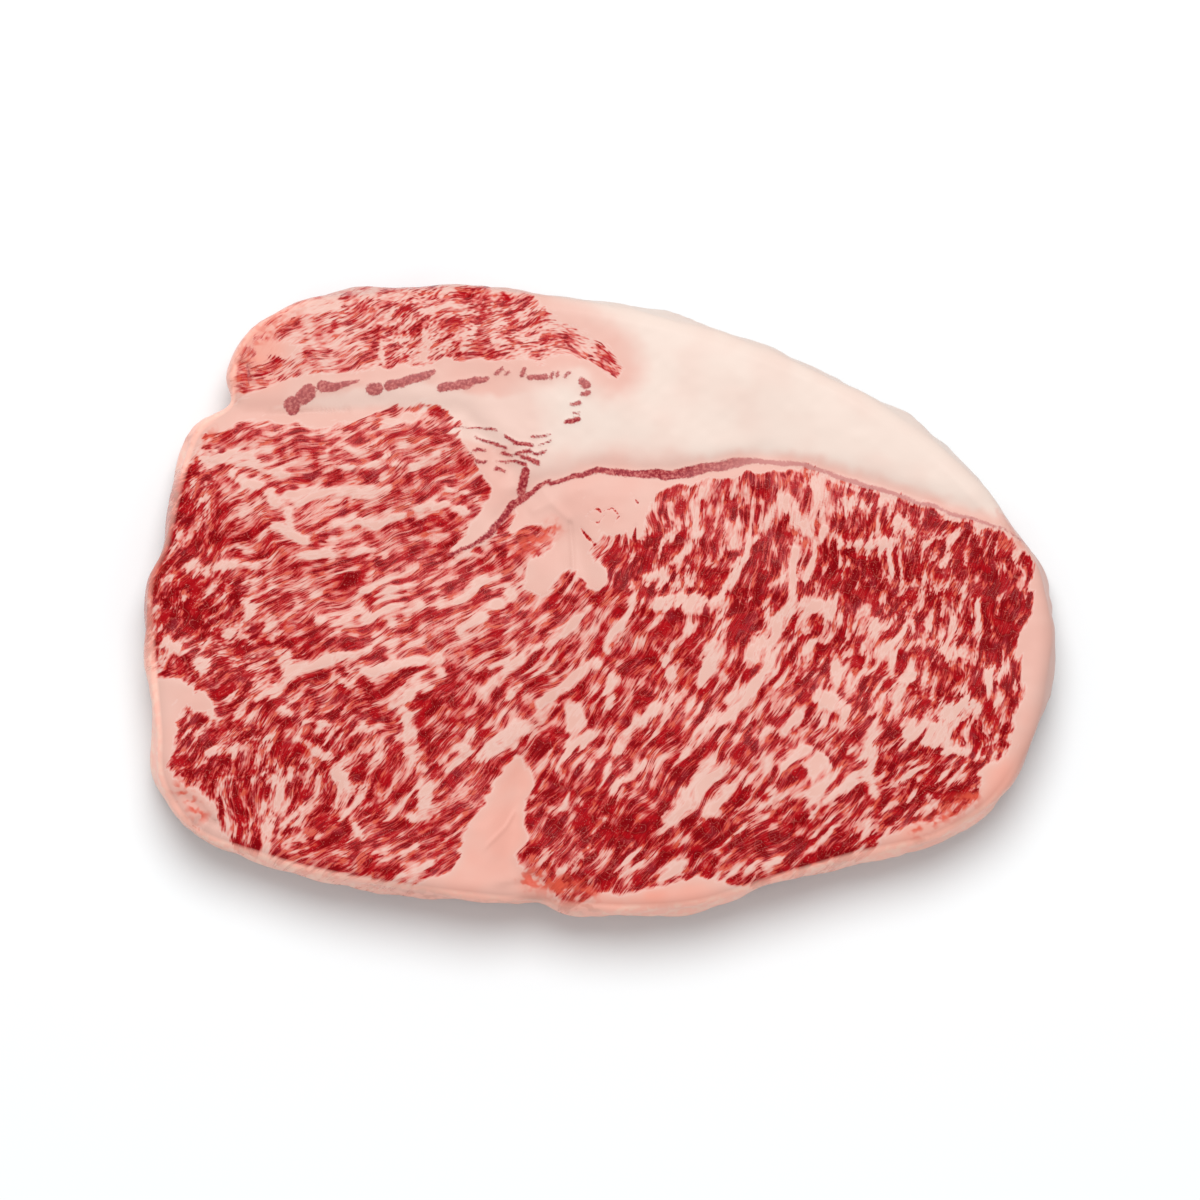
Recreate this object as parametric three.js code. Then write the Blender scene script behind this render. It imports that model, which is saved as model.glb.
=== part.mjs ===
// Raw marbled rib-eye steak: one thick slice, cut across the muscles and lying flat on its lower cut face.
//
// Millimetres, +Z up. X runs along the steak's length and Y across it, with the broad fat kernel towards +X, +Y.
// The origin is the middle of the box round the slice, on its underside, so the lower face lies in the plane z = 0.
//
// The slice is one solid. Its upper face is a grid of two parameters, carried from a square onto a disc and
// from the disc onto the outline. Rings carry the outline round the upper edge, down the bulging wall and in
// under the lower edge, and one flat face closes the underside.
import * as THREE from "three";

// Driving dimensions of the slice.
const LENGTH = 182;
const WIDTH = 126;
const THICKNESS = 20;
const UPPER_EDGE = 2.6; // radius of the soft edge round the upper face
const LOWER_EDGE = 2.2; // radius of the pressed edge round the underside
const WALL_BULGE = 1.5; // how far the middle of the wall stands out past its edges
const EDGE_FOLD = 0.55; // share of a fold's depth that it keeps at the upper and lower edges

// How finely the surface is faceted.
const FACE_CELLS = 56; // cells along one side of the square that becomes the upper face
const UPPER_EDGE_RINGS = 3;
const WALL_RINGS = 5;
const LOWER_EDGE_RINGS = 2;
const RIM_POINTS = 4 * FACE_CELLS;
const CURVE_SAMPLES = 1200;
const SLACK = 1e-9; // keeps a place that is a whole number from falling below it

// The trimmed outline, seen from above and taken anticlockwise from the tip at the right.
const OUTLINE = [
  [91.2, -8], [88.6, 7.5], [80.4, 19], [67.4, 32], [49.4, 43.6], [29.4, 52], [9.2, 58],
  [-20.8, 62.6], [-45.8, 62.2], [-61.8, 59.6], [-71.2, 53.6], [-74.3, 46], [-74.4, 40.4], [-81.2, 34.4],
  [-84.8, 24], [-88, 10.6], [-91, 3.4], [-90.6, -10], [-89.2, -27], [-88.6, -37], [-82, -47],
  [-68.8, -52.4], [-50.8, -57], [-23.8, -60.9], [8.2, -63.2], [21, -62], [34, -57.8], [52, -52.4],
  [69.2, -48.2], [80.6, -40.4], [87.8, -27],
];

// Natural seams, where two muscles or a muscle and the fat meet: the upper face dips and the wall folds in.
const SEAMS = [
  {
    // Between the cap muscle and the side muscle, from the notch in the left edge.
    path: [[-79, 37.4], [-60, 37], [-42, 38.2], [-27, 37], [-17.5, 26]],
    depth: 1.1,
    width: 2.6,
  },
  {
    // The thin strip of muscle between the fat kernel and the eye.
    path: [[-18.8, 16], [-11.8, 22.8], [0.2, 26], [12.2, 24.8], [32.2, 28.2], [52.2, 23.8], [76.2, 17], [90, 9]],
    depth: 0.8,
    width: 2.4,
  },
  {
    // Between the side muscle and the eye, through the wedge of fat to the lower edge.
    path: [[-5, 12], [-1.6, 0], [-7.8, -20], [-15.6, -38], [-18, -52], [-11, -66]],
    depth: 0.9,
    width: 3,
  },
];

// Whole muscles and bodies of fat, which stand a little proud or lie a little low on the cut face.
const SWELLS = [
  { at: [35, 38], reach: [34, 13], height: 0.9 }, // fat kernel
  { at: [42, -12], reach: [36, 26], height: 0.6 }, // eye
  { at: [-48, -8], reach: [30, 34], height: 0.7 }, // side muscle
  { at: [-40, 51], reach: [26, 9], height: 0.5 }, // cap muscle
  { at: [-17, -46], reach: [6, 10], height: -0.5 }, // wedge of fat
  { at: [-68, -42], reach: [10, 8], height: -0.9 }, // trimmed corner
];

// Nicks and folds in the wall: the place on the outline, how far each reaches along it, and its depth.
const NICKS = [
  { at: [-74.6, 41], reach: 3.2, depth: 0.7 },
  { at: [-89.4, 9], reach: 4, depth: 0.6 },
  { at: [-11, -61], reach: 3.4, depth: 0.9 },
  { at: [34, -58], reach: 5, depth: 0.4 },
  { at: [83, 15], reach: 4, depth: 0.5 },
];

// The hand-cut face is never quite level: low waves, each given by its direction, its length and its height.
const CUT_WAVES = [
  { turn: 0.35, length: 61, height: 0.35 },
  { turn: 1.9, length: 43, height: 0.3 },
  { turn: 2.7, length: 29, height: 0.2 },
  { turn: 1.1, length: 17, height: 0.14 },
];

// Bundles of fibre and bands of membrane give the wall slow ripples along the rim: waves round it, lean and height.
const WALL_RIPPLES = [
  { waves: 9, lean: 0.6, height: 0.45 },
  { waves: 17, lean: -0.9, height: 0.35 },
  { waves: 31, lean: 1.4, height: 0.22 },
];

const bell = (distance, reach) => Math.exp(-((distance / reach) ** 2));

// The outline as one smooth closed curve, scaled so that it measures LENGTH by WIDTH about its middle.
function rimCurve() {
  const knots = OUTLINE.map(([x, y]) => new THREE.Vector3(x, y, 0));
  const curve = new THREE.CatmullRomCurve3(knots, true, "centripetal");
  curve.arcLengthDivisions = CURVE_SAMPLES;
  const box = new THREE.Box3().setFromPoints(curve.getSpacedPoints(CURVE_SAMPLES));
  const middle = box.getCenter(new THREE.Vector3());
  const size = box.getSize(new THREE.Vector3());
  const reach = 2 * WALL_BULGE; // the wall's bulge stands outside the curve on both sides
  for (const knot of knots) {
    knot.sub(middle);
    knot.x *= (LENGTH - reach) / size.x;
    knot.y *= (WIDTH - reach) / size.y;
  }
  curve.updateArcLengths();
  return curve;
}

// Distance from (x, y) to a path of straight stretches.
function distanceToPath(x, y, path) {
  let nearest = Infinity;
  for (let i = 0; i + 1 < path.length; i++) {
    const [ax, ay] = path[i];
    const [bx, by] = path[i + 1];
    const [dx, dy] = [bx - ax, by - ay];
    const along = THREE.MathUtils.clamp(((x - ax) * dx + (y - ay) * dy) / (dx * dx + dy * dy), 0, 1);
    nearest = Math.min(nearest, Math.hypot(x - ax - along * dx, y - ay - along * dy));
  }
  return nearest;
}

// How deep the seams fold in at (x, y).
function seamDepth(x, y) {
  return Math.max(...SEAMS.map((seam) => seam.depth * bell(distanceToPath(x, y, seam.path), seam.width)));
}

// Height of the upper cut face at (x, y).
function faceHeight(x, y) {
  let height = THICKNESS - seamDepth(x, y);
  for (const swell of SWELLS) {
    const [dx, dy] = [(x - swell.at[0]) / swell.reach[0], (y - swell.at[1]) / swell.reach[1]];
    height += swell.height * bell(Math.hypot(dx, dy), 1);
  }
  for (const wave of CUT_WAVES) {
    const along = x * Math.cos(wave.turn) + y * Math.sin(wave.turn);
    height += wave.height * Math.sin((2 * Math.PI * along) / wave.length + wave.turn);
  }
  return height;
}

// A point of the square, from -1 to 1 each way, as a point of the disc: [share of the radius, share of a turn].
function squareToDisc(a, b) {
  if (a === 0 && b === 0) return [0, 0];
  if (Math.abs(a) >= Math.abs(b)) return [Math.abs(a), ((a < 0 ? 0.5 : 0) + (0.125 * b) / a + 1) % 1];
  return [Math.abs(b), ((b < 0 ? 0.75 : 0.25) - (0.125 * a) / b + 1) % 1];
}

// How far the wall stands out past the rim curve, at a share of its height from 0 below to 1 above.
function wallReach(rim, share) {
  let reach = 4 * WALL_BULGE * share * (1 - share);
  for (const ripple of WALL_RIPPLES) {
    const phase = 2 * Math.PI * ripple.waves * rim.share + 2 * Math.PI * ripple.lean * share;
    reach += ripple.height * Math.sin(phase) * Math.sin(Math.PI * share);
  }
  return reach - rim.fold * (EDGE_FOLD + (1 - EDGE_FOLD) * Math.sin(Math.PI * share));
}

// The rim: points evenly spaced along the outline, each with its outward direction and how far it folds in, and
// with its place on the upper face's own rim, which lies inside the outline by the radius of the soft edge.
function rimPoints(curve) {
  return Array.from({ length: RIM_POINTS }, (_, i) => {
    const share = i / RIM_POINTS;
    const { x, y } = curve.getPointAt(share);
    const along = curve.getTangentAt(share);
    const nicks = NICKS.map((nick) => nick.depth * bell(Math.hypot(x - nick.at[0], y - nick.at[1]), nick.reach));
    const fold = seamDepth(x, y) + nicks.reduce((sum, depth) => sum + depth, 0);
    const point = { share, x, y, outX: along.y, outY: -along.x, fold };
    const inset = UPPER_EDGE - wallReach(point, 1);
    return { ...point, innerX: x - inset * point.outX, innerY: y - inset * point.outY };
  });
}

// The wall's rings, from the soft upper edge down to the rim of the underside: how far each lies below the upper
// face, and how far it is set in from the wall.
function wallSteps() {
  const steps = [];
  for (let i = 1; i <= UPPER_EDGE_RINGS; i++) {
    const turn = (Math.PI / 2) * (i / UPPER_EDGE_RINGS);
    steps.push({ drop: UPPER_EDGE * (1 - Math.cos(turn)), inset: UPPER_EDGE * (1 - Math.sin(turn)) });
  }
  const wall = THICKNESS - UPPER_EDGE - LOWER_EDGE;
  for (let i = 1; i <= WALL_RINGS; i++) {
    steps.push({ drop: UPPER_EDGE + (wall * i) / WALL_RINGS, inset: 0 });
  }
  for (let i = 1; i <= LOWER_EDGE_RINGS; i++) {
    const turn = (Math.PI / 2) * (i / LOWER_EDGE_RINGS);
    const drop = THICKNESS - LOWER_EDGE * (1 - Math.sin(turn));
    steps.push({ drop, inset: LOWER_EDGE * (1 - Math.cos(turn)) });
  }
  return steps;
}

// The upper cut face: a grid carried from the square onto the disc and from the disc inside its rim.
function addUpperFace(rim, points, faces) {
  const rimAt = (turn) => {
    const place = turn * RIM_POINTS;
    const before = Math.floor(place + SLACK);
    const part = Math.max(0, place - before);
    const [a, b] = [rim[before % RIM_POINTS], rim[(before + 1) % RIM_POINTS]];
    return [THREE.MathUtils.lerp(a.innerX, b.innerX, part), THREE.MathUtils.lerp(a.innerY, b.innerY, part)];
  };
  for (let j = 0; j <= FACE_CELLS; j++) {
    for (let i = 0; i <= FACE_CELLS; i++) {
      const [radius, turn] = squareToDisc((2 * i) / FACE_CELLS - 1, (2 * j) / FACE_CELLS - 1);
      const [x, y] = rimAt(turn).map((value) => value * radius);
      points.push(x, y, faceHeight(x, y));
    }
  }
  const row = FACE_CELLS + 1;
  for (let j = 0; j < FACE_CELLS; j++) {
    for (let i = 0; i < FACE_CELLS; i++) {
      const corner = j * row + i;
      faces.push(corner, corner + 1, corner + row + 1, corner, corner + row + 1, corner + row);
    }
  }
}

// The grid's border as a ring of point numbers, anticlockwise from the middle of the square's right side.
function borderRing() {
  const last = FACE_CELLS;
  return Array.from({ length: RIM_POINTS }, (_, k) => {
    const around = (k + FACE_CELLS / 2) % RIM_POINTS; // counted from the square's lower right corner
    const side = Math.floor(around / FACE_CELLS);
    const step = around % FACE_CELLS;
    const [i, j] = [[last, step], [last - step, last], [0, last - step], [step, 0]][side];
    return j * (FACE_CELLS + 1) + i;
  });
}

// The whole slice as one closed geometry.
function steakGeometry() {
  const rim = rimPoints(rimCurve());
  const points = [];
  const faces = [];
  addUpperFace(rim, points, faces);

  let ring = borderRing();
  const crowns = ring.map((p) => points[3 * p + 2]); // height of the upper face at each point of its rim
  for (const step of wallSteps()) {
    const share = 1 - step.drop / THICKNESS;
    const next = rim.map((r, k) => {
      const out = wallReach(r, share) - step.inset;
      points.push(r.x + out * r.outX, r.y + out * r.outY, share * crowns[k]);
      return points.length / 3 - 1;
    });
    for (let k = 0; k < RIM_POINTS; k++) {
      const after = (k + 1) % RIM_POINTS;
      faces.push(ring[k], next[k], next[after], ring[k], next[after], ring[after]);
    }
    ring = next;
  }

  const underside = ring.map((p) => new THREE.Vector2(points[3 * p], points[3 * p + 1]));
  for (const [a, b, c] of THREE.ShapeUtils.triangulateShape(underside, [])) {
    faces.push(ring[a], ring[c], ring[b]);
  }

  const geometry = new THREE.BufferGeometry();
  geometry.setAttribute("position", new THREE.Float32BufferAttribute(points, 3));
  geometry.setIndex(faces);
  // The ripples and nicks move the extremes a little, so the finished slice is centred over the origin again.
  geometry.computeBoundingBox();
  const middle = geometry.boundingBox.getCenter(new THREE.Vector3());
  geometry.translate(-middle.x, -middle.y, 0);
  geometry.computeVertexNormals();
  return geometry;
}

const meat = new THREE.MeshStandardMaterial({ color: 0xd0635c, roughness: 0.5, metalness: 0 });
const steak = new THREE.Mesh(steakGeometry(), meat);
steak.name = "steak";

const slice = new THREE.Group();
slice.add(steak);

export default slice;
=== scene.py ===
# %% [markdown]
# # A raw marbled steak, lying on its cut face
#
# The real thing is one thick slice through several muscles. Seen from above it is nearly flat, so most of
# what makes it look like beef is drawn on the cut face: crimson lean with fat threaded through it along the
# fibres, smooth bodies of fat between the muscles, and a thin dark strip of muscle in the fat.
#
# This lesson builds it in three steps. First a set of smooth fields over the slice, which say where lean and
# fat lie and which way the fibres run. Then the slice's form, from the same outline as its solid. Last a
# material that turns those fields into fine marbling, which stays crisp at any size because it is worked out
# in the shader.

import bpy
import numpy as np
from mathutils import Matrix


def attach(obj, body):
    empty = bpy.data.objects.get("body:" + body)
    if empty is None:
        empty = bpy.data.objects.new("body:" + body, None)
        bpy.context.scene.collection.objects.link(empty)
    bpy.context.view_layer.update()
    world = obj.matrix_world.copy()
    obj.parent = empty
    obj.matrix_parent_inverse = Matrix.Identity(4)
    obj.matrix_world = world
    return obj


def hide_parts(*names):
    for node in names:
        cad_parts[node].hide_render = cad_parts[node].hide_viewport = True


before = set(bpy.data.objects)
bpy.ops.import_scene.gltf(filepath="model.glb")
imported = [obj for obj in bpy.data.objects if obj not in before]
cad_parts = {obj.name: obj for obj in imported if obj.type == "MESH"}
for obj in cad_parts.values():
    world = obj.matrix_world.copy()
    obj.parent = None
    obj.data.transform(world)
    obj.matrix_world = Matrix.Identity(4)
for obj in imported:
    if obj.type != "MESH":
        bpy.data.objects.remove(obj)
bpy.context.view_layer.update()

# %% [markdown]
# ## Sizes
#
# Everything about the slice is written in millimetres, X along its length and Y across it, and becomes metres
# only when a mesh is filled. The outline is a ring of a few knots. They could be joined by straight edges and
# softened with a Subdivision Surface modifier, but a spline through them gives the same curve that the solid
# has, and it can be walked in even steps.

# %% Driving sizes and the outline, in millimetres
METRE = 1000.0
LENGTH = 182.0
WIDTH = 126.0
THICKNESS = 20.0
UPPER_EDGE = 2.4  # radius of the soft edge round the cut face
LOWER_EDGE = 2.2  # radius of the pressed edge round the underside
WALL_BULGE = 1.5  # how far the middle of the wall stands out
SPAN_STEPS = 60  # points of the curve between two knots
OUTLINE_STEPS = 6000

OUTLINE = np.array([
    (91.2, -8), (88.6, 7.5), (80.4, 19), (67.4, 32), (49.4, 43.6), (29.4, 52), (9.2, 58), (-20.8, 62.6),
    (-45.8, 62.2), (-61.8, 59.6), (-71.2, 53.6), (-74.3, 46), (-74.4, 40.4), (-81.2, 34.4), (-84.8, 24),
    (-88, 10.6), (-91, 3.4), (-90.6, -10), (-89.2, -27), (-88.6, -37), (-82, -47), (-68.8, -52.4),
    (-50.8, -57), (-23.8, -60.9), (8.2, -63.2), (21, -62), (34, -57.8), (52, -52.4), (69.2, -48.2),
    (80.6, -40.4), (87.8, -27),
])


def closed_curve(knots, per_span):
    """A centripetal Catmull-Rom curve through a ring of knots.

    Each span is a cubic between two knots. Its end slopes come from the neighbouring knots, weighted by the
    square root of the distances between them, so that short spans don't overshoot."""
    before, start, end, after = (np.roll(knots, shift, 0) for shift in (1, 0, -1, -2))
    d0, d1, d2 = (np.sqrt(np.linalg.norm(b - a, axis=1))[:, None]
                  for a, b in ((before, start), (start, end), (end, after)))
    slope0 = d1 * ((start - before) / d0 - (end - before) / (d0 + d1) + (end - start) / d1)
    slope1 = d1 * ((end - start) / d1 - (after - start) / (d1 + d2) + (after - end) / d2)
    t = (np.arange(per_span) / per_span)[None, :, None]
    start, end, slope0, slope1 = (v[:, None, :] for v in (start, end, slope0, slope1))
    curve = ((2 * t**3 - 3 * t**2 + 1) * start + (t**3 - 2 * t**2 + t) * slope0
             + (3 * t**2 - 2 * t**3) * end + (t**3 - t**2) * slope1)
    return curve.reshape(-1, 2)


def even_steps(ring, count):
    """The same closed ring walked in even steps: its length is summed up and then looked up backwards."""
    closed = np.vstack([ring, ring[:1]])
    length = np.concatenate([[0], np.cumsum(np.linalg.norm(np.diff(closed, axis=0), axis=1))])
    at = np.arange(count) / count * length[-1]
    return np.stack([np.interp(at, length, closed[:, axis]) for axis in (0, 1)], axis=1)


outline = even_steps(closed_curve(OUTLINE, SPAN_STEPS), OUTLINE_STEPS)
outline -= (outline.min(0) + outline.max(0)) / 2
outline *= (np.array([LENGTH, WIDTH]) - 2 * WALL_BULGE) / np.ptp(outline, axis=0)
outline_along = np.roll(outline, -1, 0) - np.roll(outline, 1, 0)
outline_along /= np.linalg.norm(outline_along, axis=1)[:, None]
outline_out = np.stack([outline_along[:, 1], -outline_along[:, 0]], axis=1)
print("outline, mm:", np.round(np.ptp(outline, axis=0), 1))

# %% [markdown]
# ## Helpers for painting with distances
#
# A body of fat, a vein or a dark bead is placed by its distance field: how far each point of the slice is
# from the body's edge. Distances blend, round off and fray well, so they beat hard masks here. Smooth steps
# turn a distance into a share from 0 to 1.

# %% Distance helpers
BODY_MARGIN, STROKE_MARGIN = 4.0, 2.5  # how far outside bodies and strokes their distances are worked out


def smoothstep(low, high, value):
    """0 below low, 1 above high, and an S-shaped cubic between them."""
    t = np.clip((value - low) / (high - low), 0, 1)
    return t * t * (3 - 2 * t)


def bell(distance, reach):
    """1 at no distance, falling off as a Gaussian."""
    return np.exp(-((distance / reach) ** 2))


def to_stretch(x, y, a, b):
    """Distance to the straight stretch from a to b, and the nearest point's share of the way along it."""
    ax, ay, bx, by = *a[:2], *b[:2]
    span = max((bx - ax) ** 2 + (by - ay) ** 2, 1e-9)
    share = np.clip(((x - ax) * (bx - ax) + (y - ay) * (by - ay)) / span, 0, 1)
    return np.hypot(x - ax - share * (bx - ax), y - ay - share * (by - ay)), share


def inside_body(x, y, knots):
    """Depth inside a rounded polygon, negative outside it.

    The depth is the distance to the nearest edge, and its sign comes from counting the edges that a ray to
    the right would cross. Points further than the margin outside are all given that margin."""
    ring = closed_curve(np.array(knots, float), 3)
    depth = np.full(x.shape, -BODY_MARGIN)
    low, high = ring.min(0) - BODY_MARGIN, ring.max(0) + BODY_MARGIN
    near = np.nonzero((x > low[0]) & (x < high[0]) & (y > low[1]) & (y < high[1]))[0]
    px, py = x[near], y[near]
    nearest = np.full(px.shape, np.inf)
    crossed = np.zeros(px.shape, bool)
    for a, b in zip(ring, np.roll(ring, -1, 0)):
        nearest = np.minimum(nearest, to_stretch(px, py, a, b)[0])
        if a[1] != b[1]:
            meets_at = (b[0] - a[0]) * (py - a[1]) / (b[1] - a[1]) + a[0]
            crossed ^= ((a[1] > py) != (b[1] > py)) & (px < meets_at)
    depth[near] = np.maximum(np.where(crossed, nearest, -nearest), -BODY_MARGIN)
    return depth


def inside_strokes(x, y, strokes):
    """Depth inside a set of tapering strokes, negative outside them.

    A stroke is a chain of (x, y, half width). The half width changes evenly along each stretch, and the depth
    is that width less the distance to the stretch. Where strokes overlap, the deepest wins."""
    depth = np.full(x.shape, -STROKE_MARGIN)
    for stroke in strokes:
        for a, b in zip(stroke, stroke[1:]):
            reach = STROKE_MARGIN + max(a[2], b[2])
            near = np.nonzero((x > min(a[0], b[0]) - reach) & (x < max(a[0], b[0]) + reach)
                              & (y > min(a[1], b[1]) - reach) & (y < max(a[1], b[1]) + reach))[0]
            distance, share = to_stretch(x[near], y[near], a, b)
            depth[near] = np.maximum(depth[near], a[2] + share * (b[2] - a[2]) - distance)
    return depth


def spread(x, y, anchors):
    """A value carried from a few anchors (x, y, value) to every point, weighted by nearness cubed.

    Two millimetres are added to each distance, so that an anchor doesn't show as a spot."""
    total = np.zeros(x.shape)
    weights = np.full(x.shape, 1e-12)
    for ax, ay, value in anchors:
        weight = 1.0 / (np.hypot(x - ax, y - ay) + 2.0) ** 3
        total += weight * value
        weights += weight
    return total / weights


print("a step halfway up:", smoothstep(0, 1, np.array([0.25, 0.5, 0.75])))

# %% [markdown]
# No edge in meat is perfectly smooth, so whatever is drawn is shifted a little by noise. A texture datablock
# could give that noise one point at a time, but here it is needed for whole arrays of points, so it is built
# from random values on a square lattice. The seed is fixed, so the slice comes out the same every time.

# %% Noise on a lattice
LATTICE_CELLS = 256
rng = np.random.default_rng(7)
LATTICE = rng.random((LATTICE_CELLS, LATTICE_CELLS))


def lattice_noise(u, v):
    """Smooth noise from 0 to 1: random values on a square lattice, joined by S-shaped blends."""
    i, j = np.floor(u).astype(int), np.floor(v).astype(int)
    s, t = (w * w * (3 - 2 * w) for w in (u - i, v - j))
    corner = [LATTICE[(j + b) % LATTICE_CELLS, (i + a) % LATTICE_CELLS] for b in (0, 1) for a in (0, 1)]
    return (corner[0] * (1 - s) + corner[1] * s) * (1 - t) + (corner[2] * (1 - s) + corner[3] * s) * t


def waver(x, y):
    """A shift of up to 1.1 mm either way, which frays what is drawn: lattice noise at two sizes."""
    return 1.5 * (lattice_noise(x / 3.7, y / 3.7) - 0.5) + 0.7 * (lattice_noise(x / 1.5, y / 1.5 + 70) - 0.5)


print("lattice of", LATTICE.shape, "values, mean", round(LATTICE.mean(), 2))

# %% [markdown]
# ## Which way the fibres run
#
# Marbling follows the muscle fibres, so the grain's direction is read off the real slice at a few anchors and
# spread between them. It is kept as an arrow at every point of the mesh, longer where the streaks are longer.
# The material smears its noises a few millimetres along that arrow, which gives streaks that bend with the
# grain and never stretch. A texture turned by an angle that changes from place to place would be sheared
# instead. A third set of anchors says where the marbling is fine and flaky, as in the cap muscle, and where
# it is broad.

# %% The grain's direction, the length of its streaks and how fine they are, at anchors
GRAIN = [  # (x, y, degrees), anticlockwise from +X
    # side muscle
    (-80, 27, 25), (-60, 31, 12), (-36, 31, 26), (-78, 18, 60), (-66, 14, 22), (-30, 17, 20), (-54, 8, 16),
    (-84, 0, 62), (-76, -16, 24), (-60, -8, 22), (-40, 0, 20), (-24, -4, 26), (-44, -20, 28), (-60, -34, 66),
    (-44, -36, 62), (-72, -40, 98), (-76, -28, 50), (-54, -50, 20), (-40, -50, 26), (-30, -48, 34),
    (-26, -24, 50),
    # where the two muscles meet
    (-8, 2, 42), (-12, -16, 36), (4, -8, 58), (-8, -32, 54),
    # eye
    (4, -40, 56), (20, -32, 53), (10, -52, 44), (32, -50, 34), (50, -40, 42), (64, -34, 42), (60, -16, 58),
    (44, -20, 58), (32, -8, 62), (20, 8, 78), (12, 16, 92), (32, 20, 86), (44, 16, 84), (56, 8, 78),
    (70, 8, 68), (80, 0, 76), (80, -20, 80), (68, -8, 70), (16, -14, 58),
    # cap muscle
    (-69, 51, 55), (-56, 50, 18), (-44, 56, 24), (-36, 50, 34), (-26, 58, 18), (-14, 56, 24), (-20, 51, 14),
    (-3, 51, -18), (2, 47, -42), (-70, 44, 10),
]
STROKE_LENGTH = [  # (x, y, times the usual length)
    (-84, 20, 0.6), (-84, 0, 0.6), (-74, 10, 0.8), (-60, 30, 1.4), (-40, 30, 1.45), (-60, 16, 1.3),
    (-36, 16, 1.5), (-56, 2, 1.2), (-36, 0, 1.45), (-70, -10, 0.7), (-54, -14, 1), (-74, -28, 0.7),
    (-66, -44, 0.8), (-50, -34, 0.7), (-40, -46, 1.2), (-56, -54, 1.3), (-24, -10, 1.4), (-30, -30, 1.1),
    (-14, 6, 1.45), (-8, -14, 1.4), (2, -30, 1.4), (8, -44, 1.3), (26, -40, 1.4), (20, -20, 1.1),
    (14, 8, 0.6), (24, 16, 0.9), (40, 16, 1), (32, -2, 0.7), (50, 12, 0.6), (64, 6, 0.6), (80, 4, 0.7),
    (52, -14, 0.8), (70, -12, 0.7), (44, -36, 1.1), (66, -36, 0.8), (78, -26, 0.7), (-56, 52, 1.2),
    (-36, 52, 0.7), (-24, 56, 0.8), (-10, 54, 0.8), (-68, 50, 1.4),
]
FINENESS = [  # (x, y, share), 1 where the marbling is fine and flaky and 0 where it is broad
    (-50, 52, 1), (-30, 55, 1), (-10, 54, 0.9), (-66, 48, 0.9), (-84, 20, 0.45), (-84, 0, 0.4),
    (-66, -40, 0.45), (-50, -30, 0.35), (-60, 28, 0.05), (-36, 28, 0.1), (-45, 0, 0.1), (-20, -10, 0.1),
    (0, -30, 0), (30, -40, 0), (20, 10, 0.3), (50, -10, 0.15), (75, 5, 0.35), (75, -20, 0.3), (55, -35, 0.1),
]
print("grain anchors:", len(GRAIN), "stroke lengths:", len(STROKE_LENGTH), "fineness:", len(FINENESS))
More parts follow.
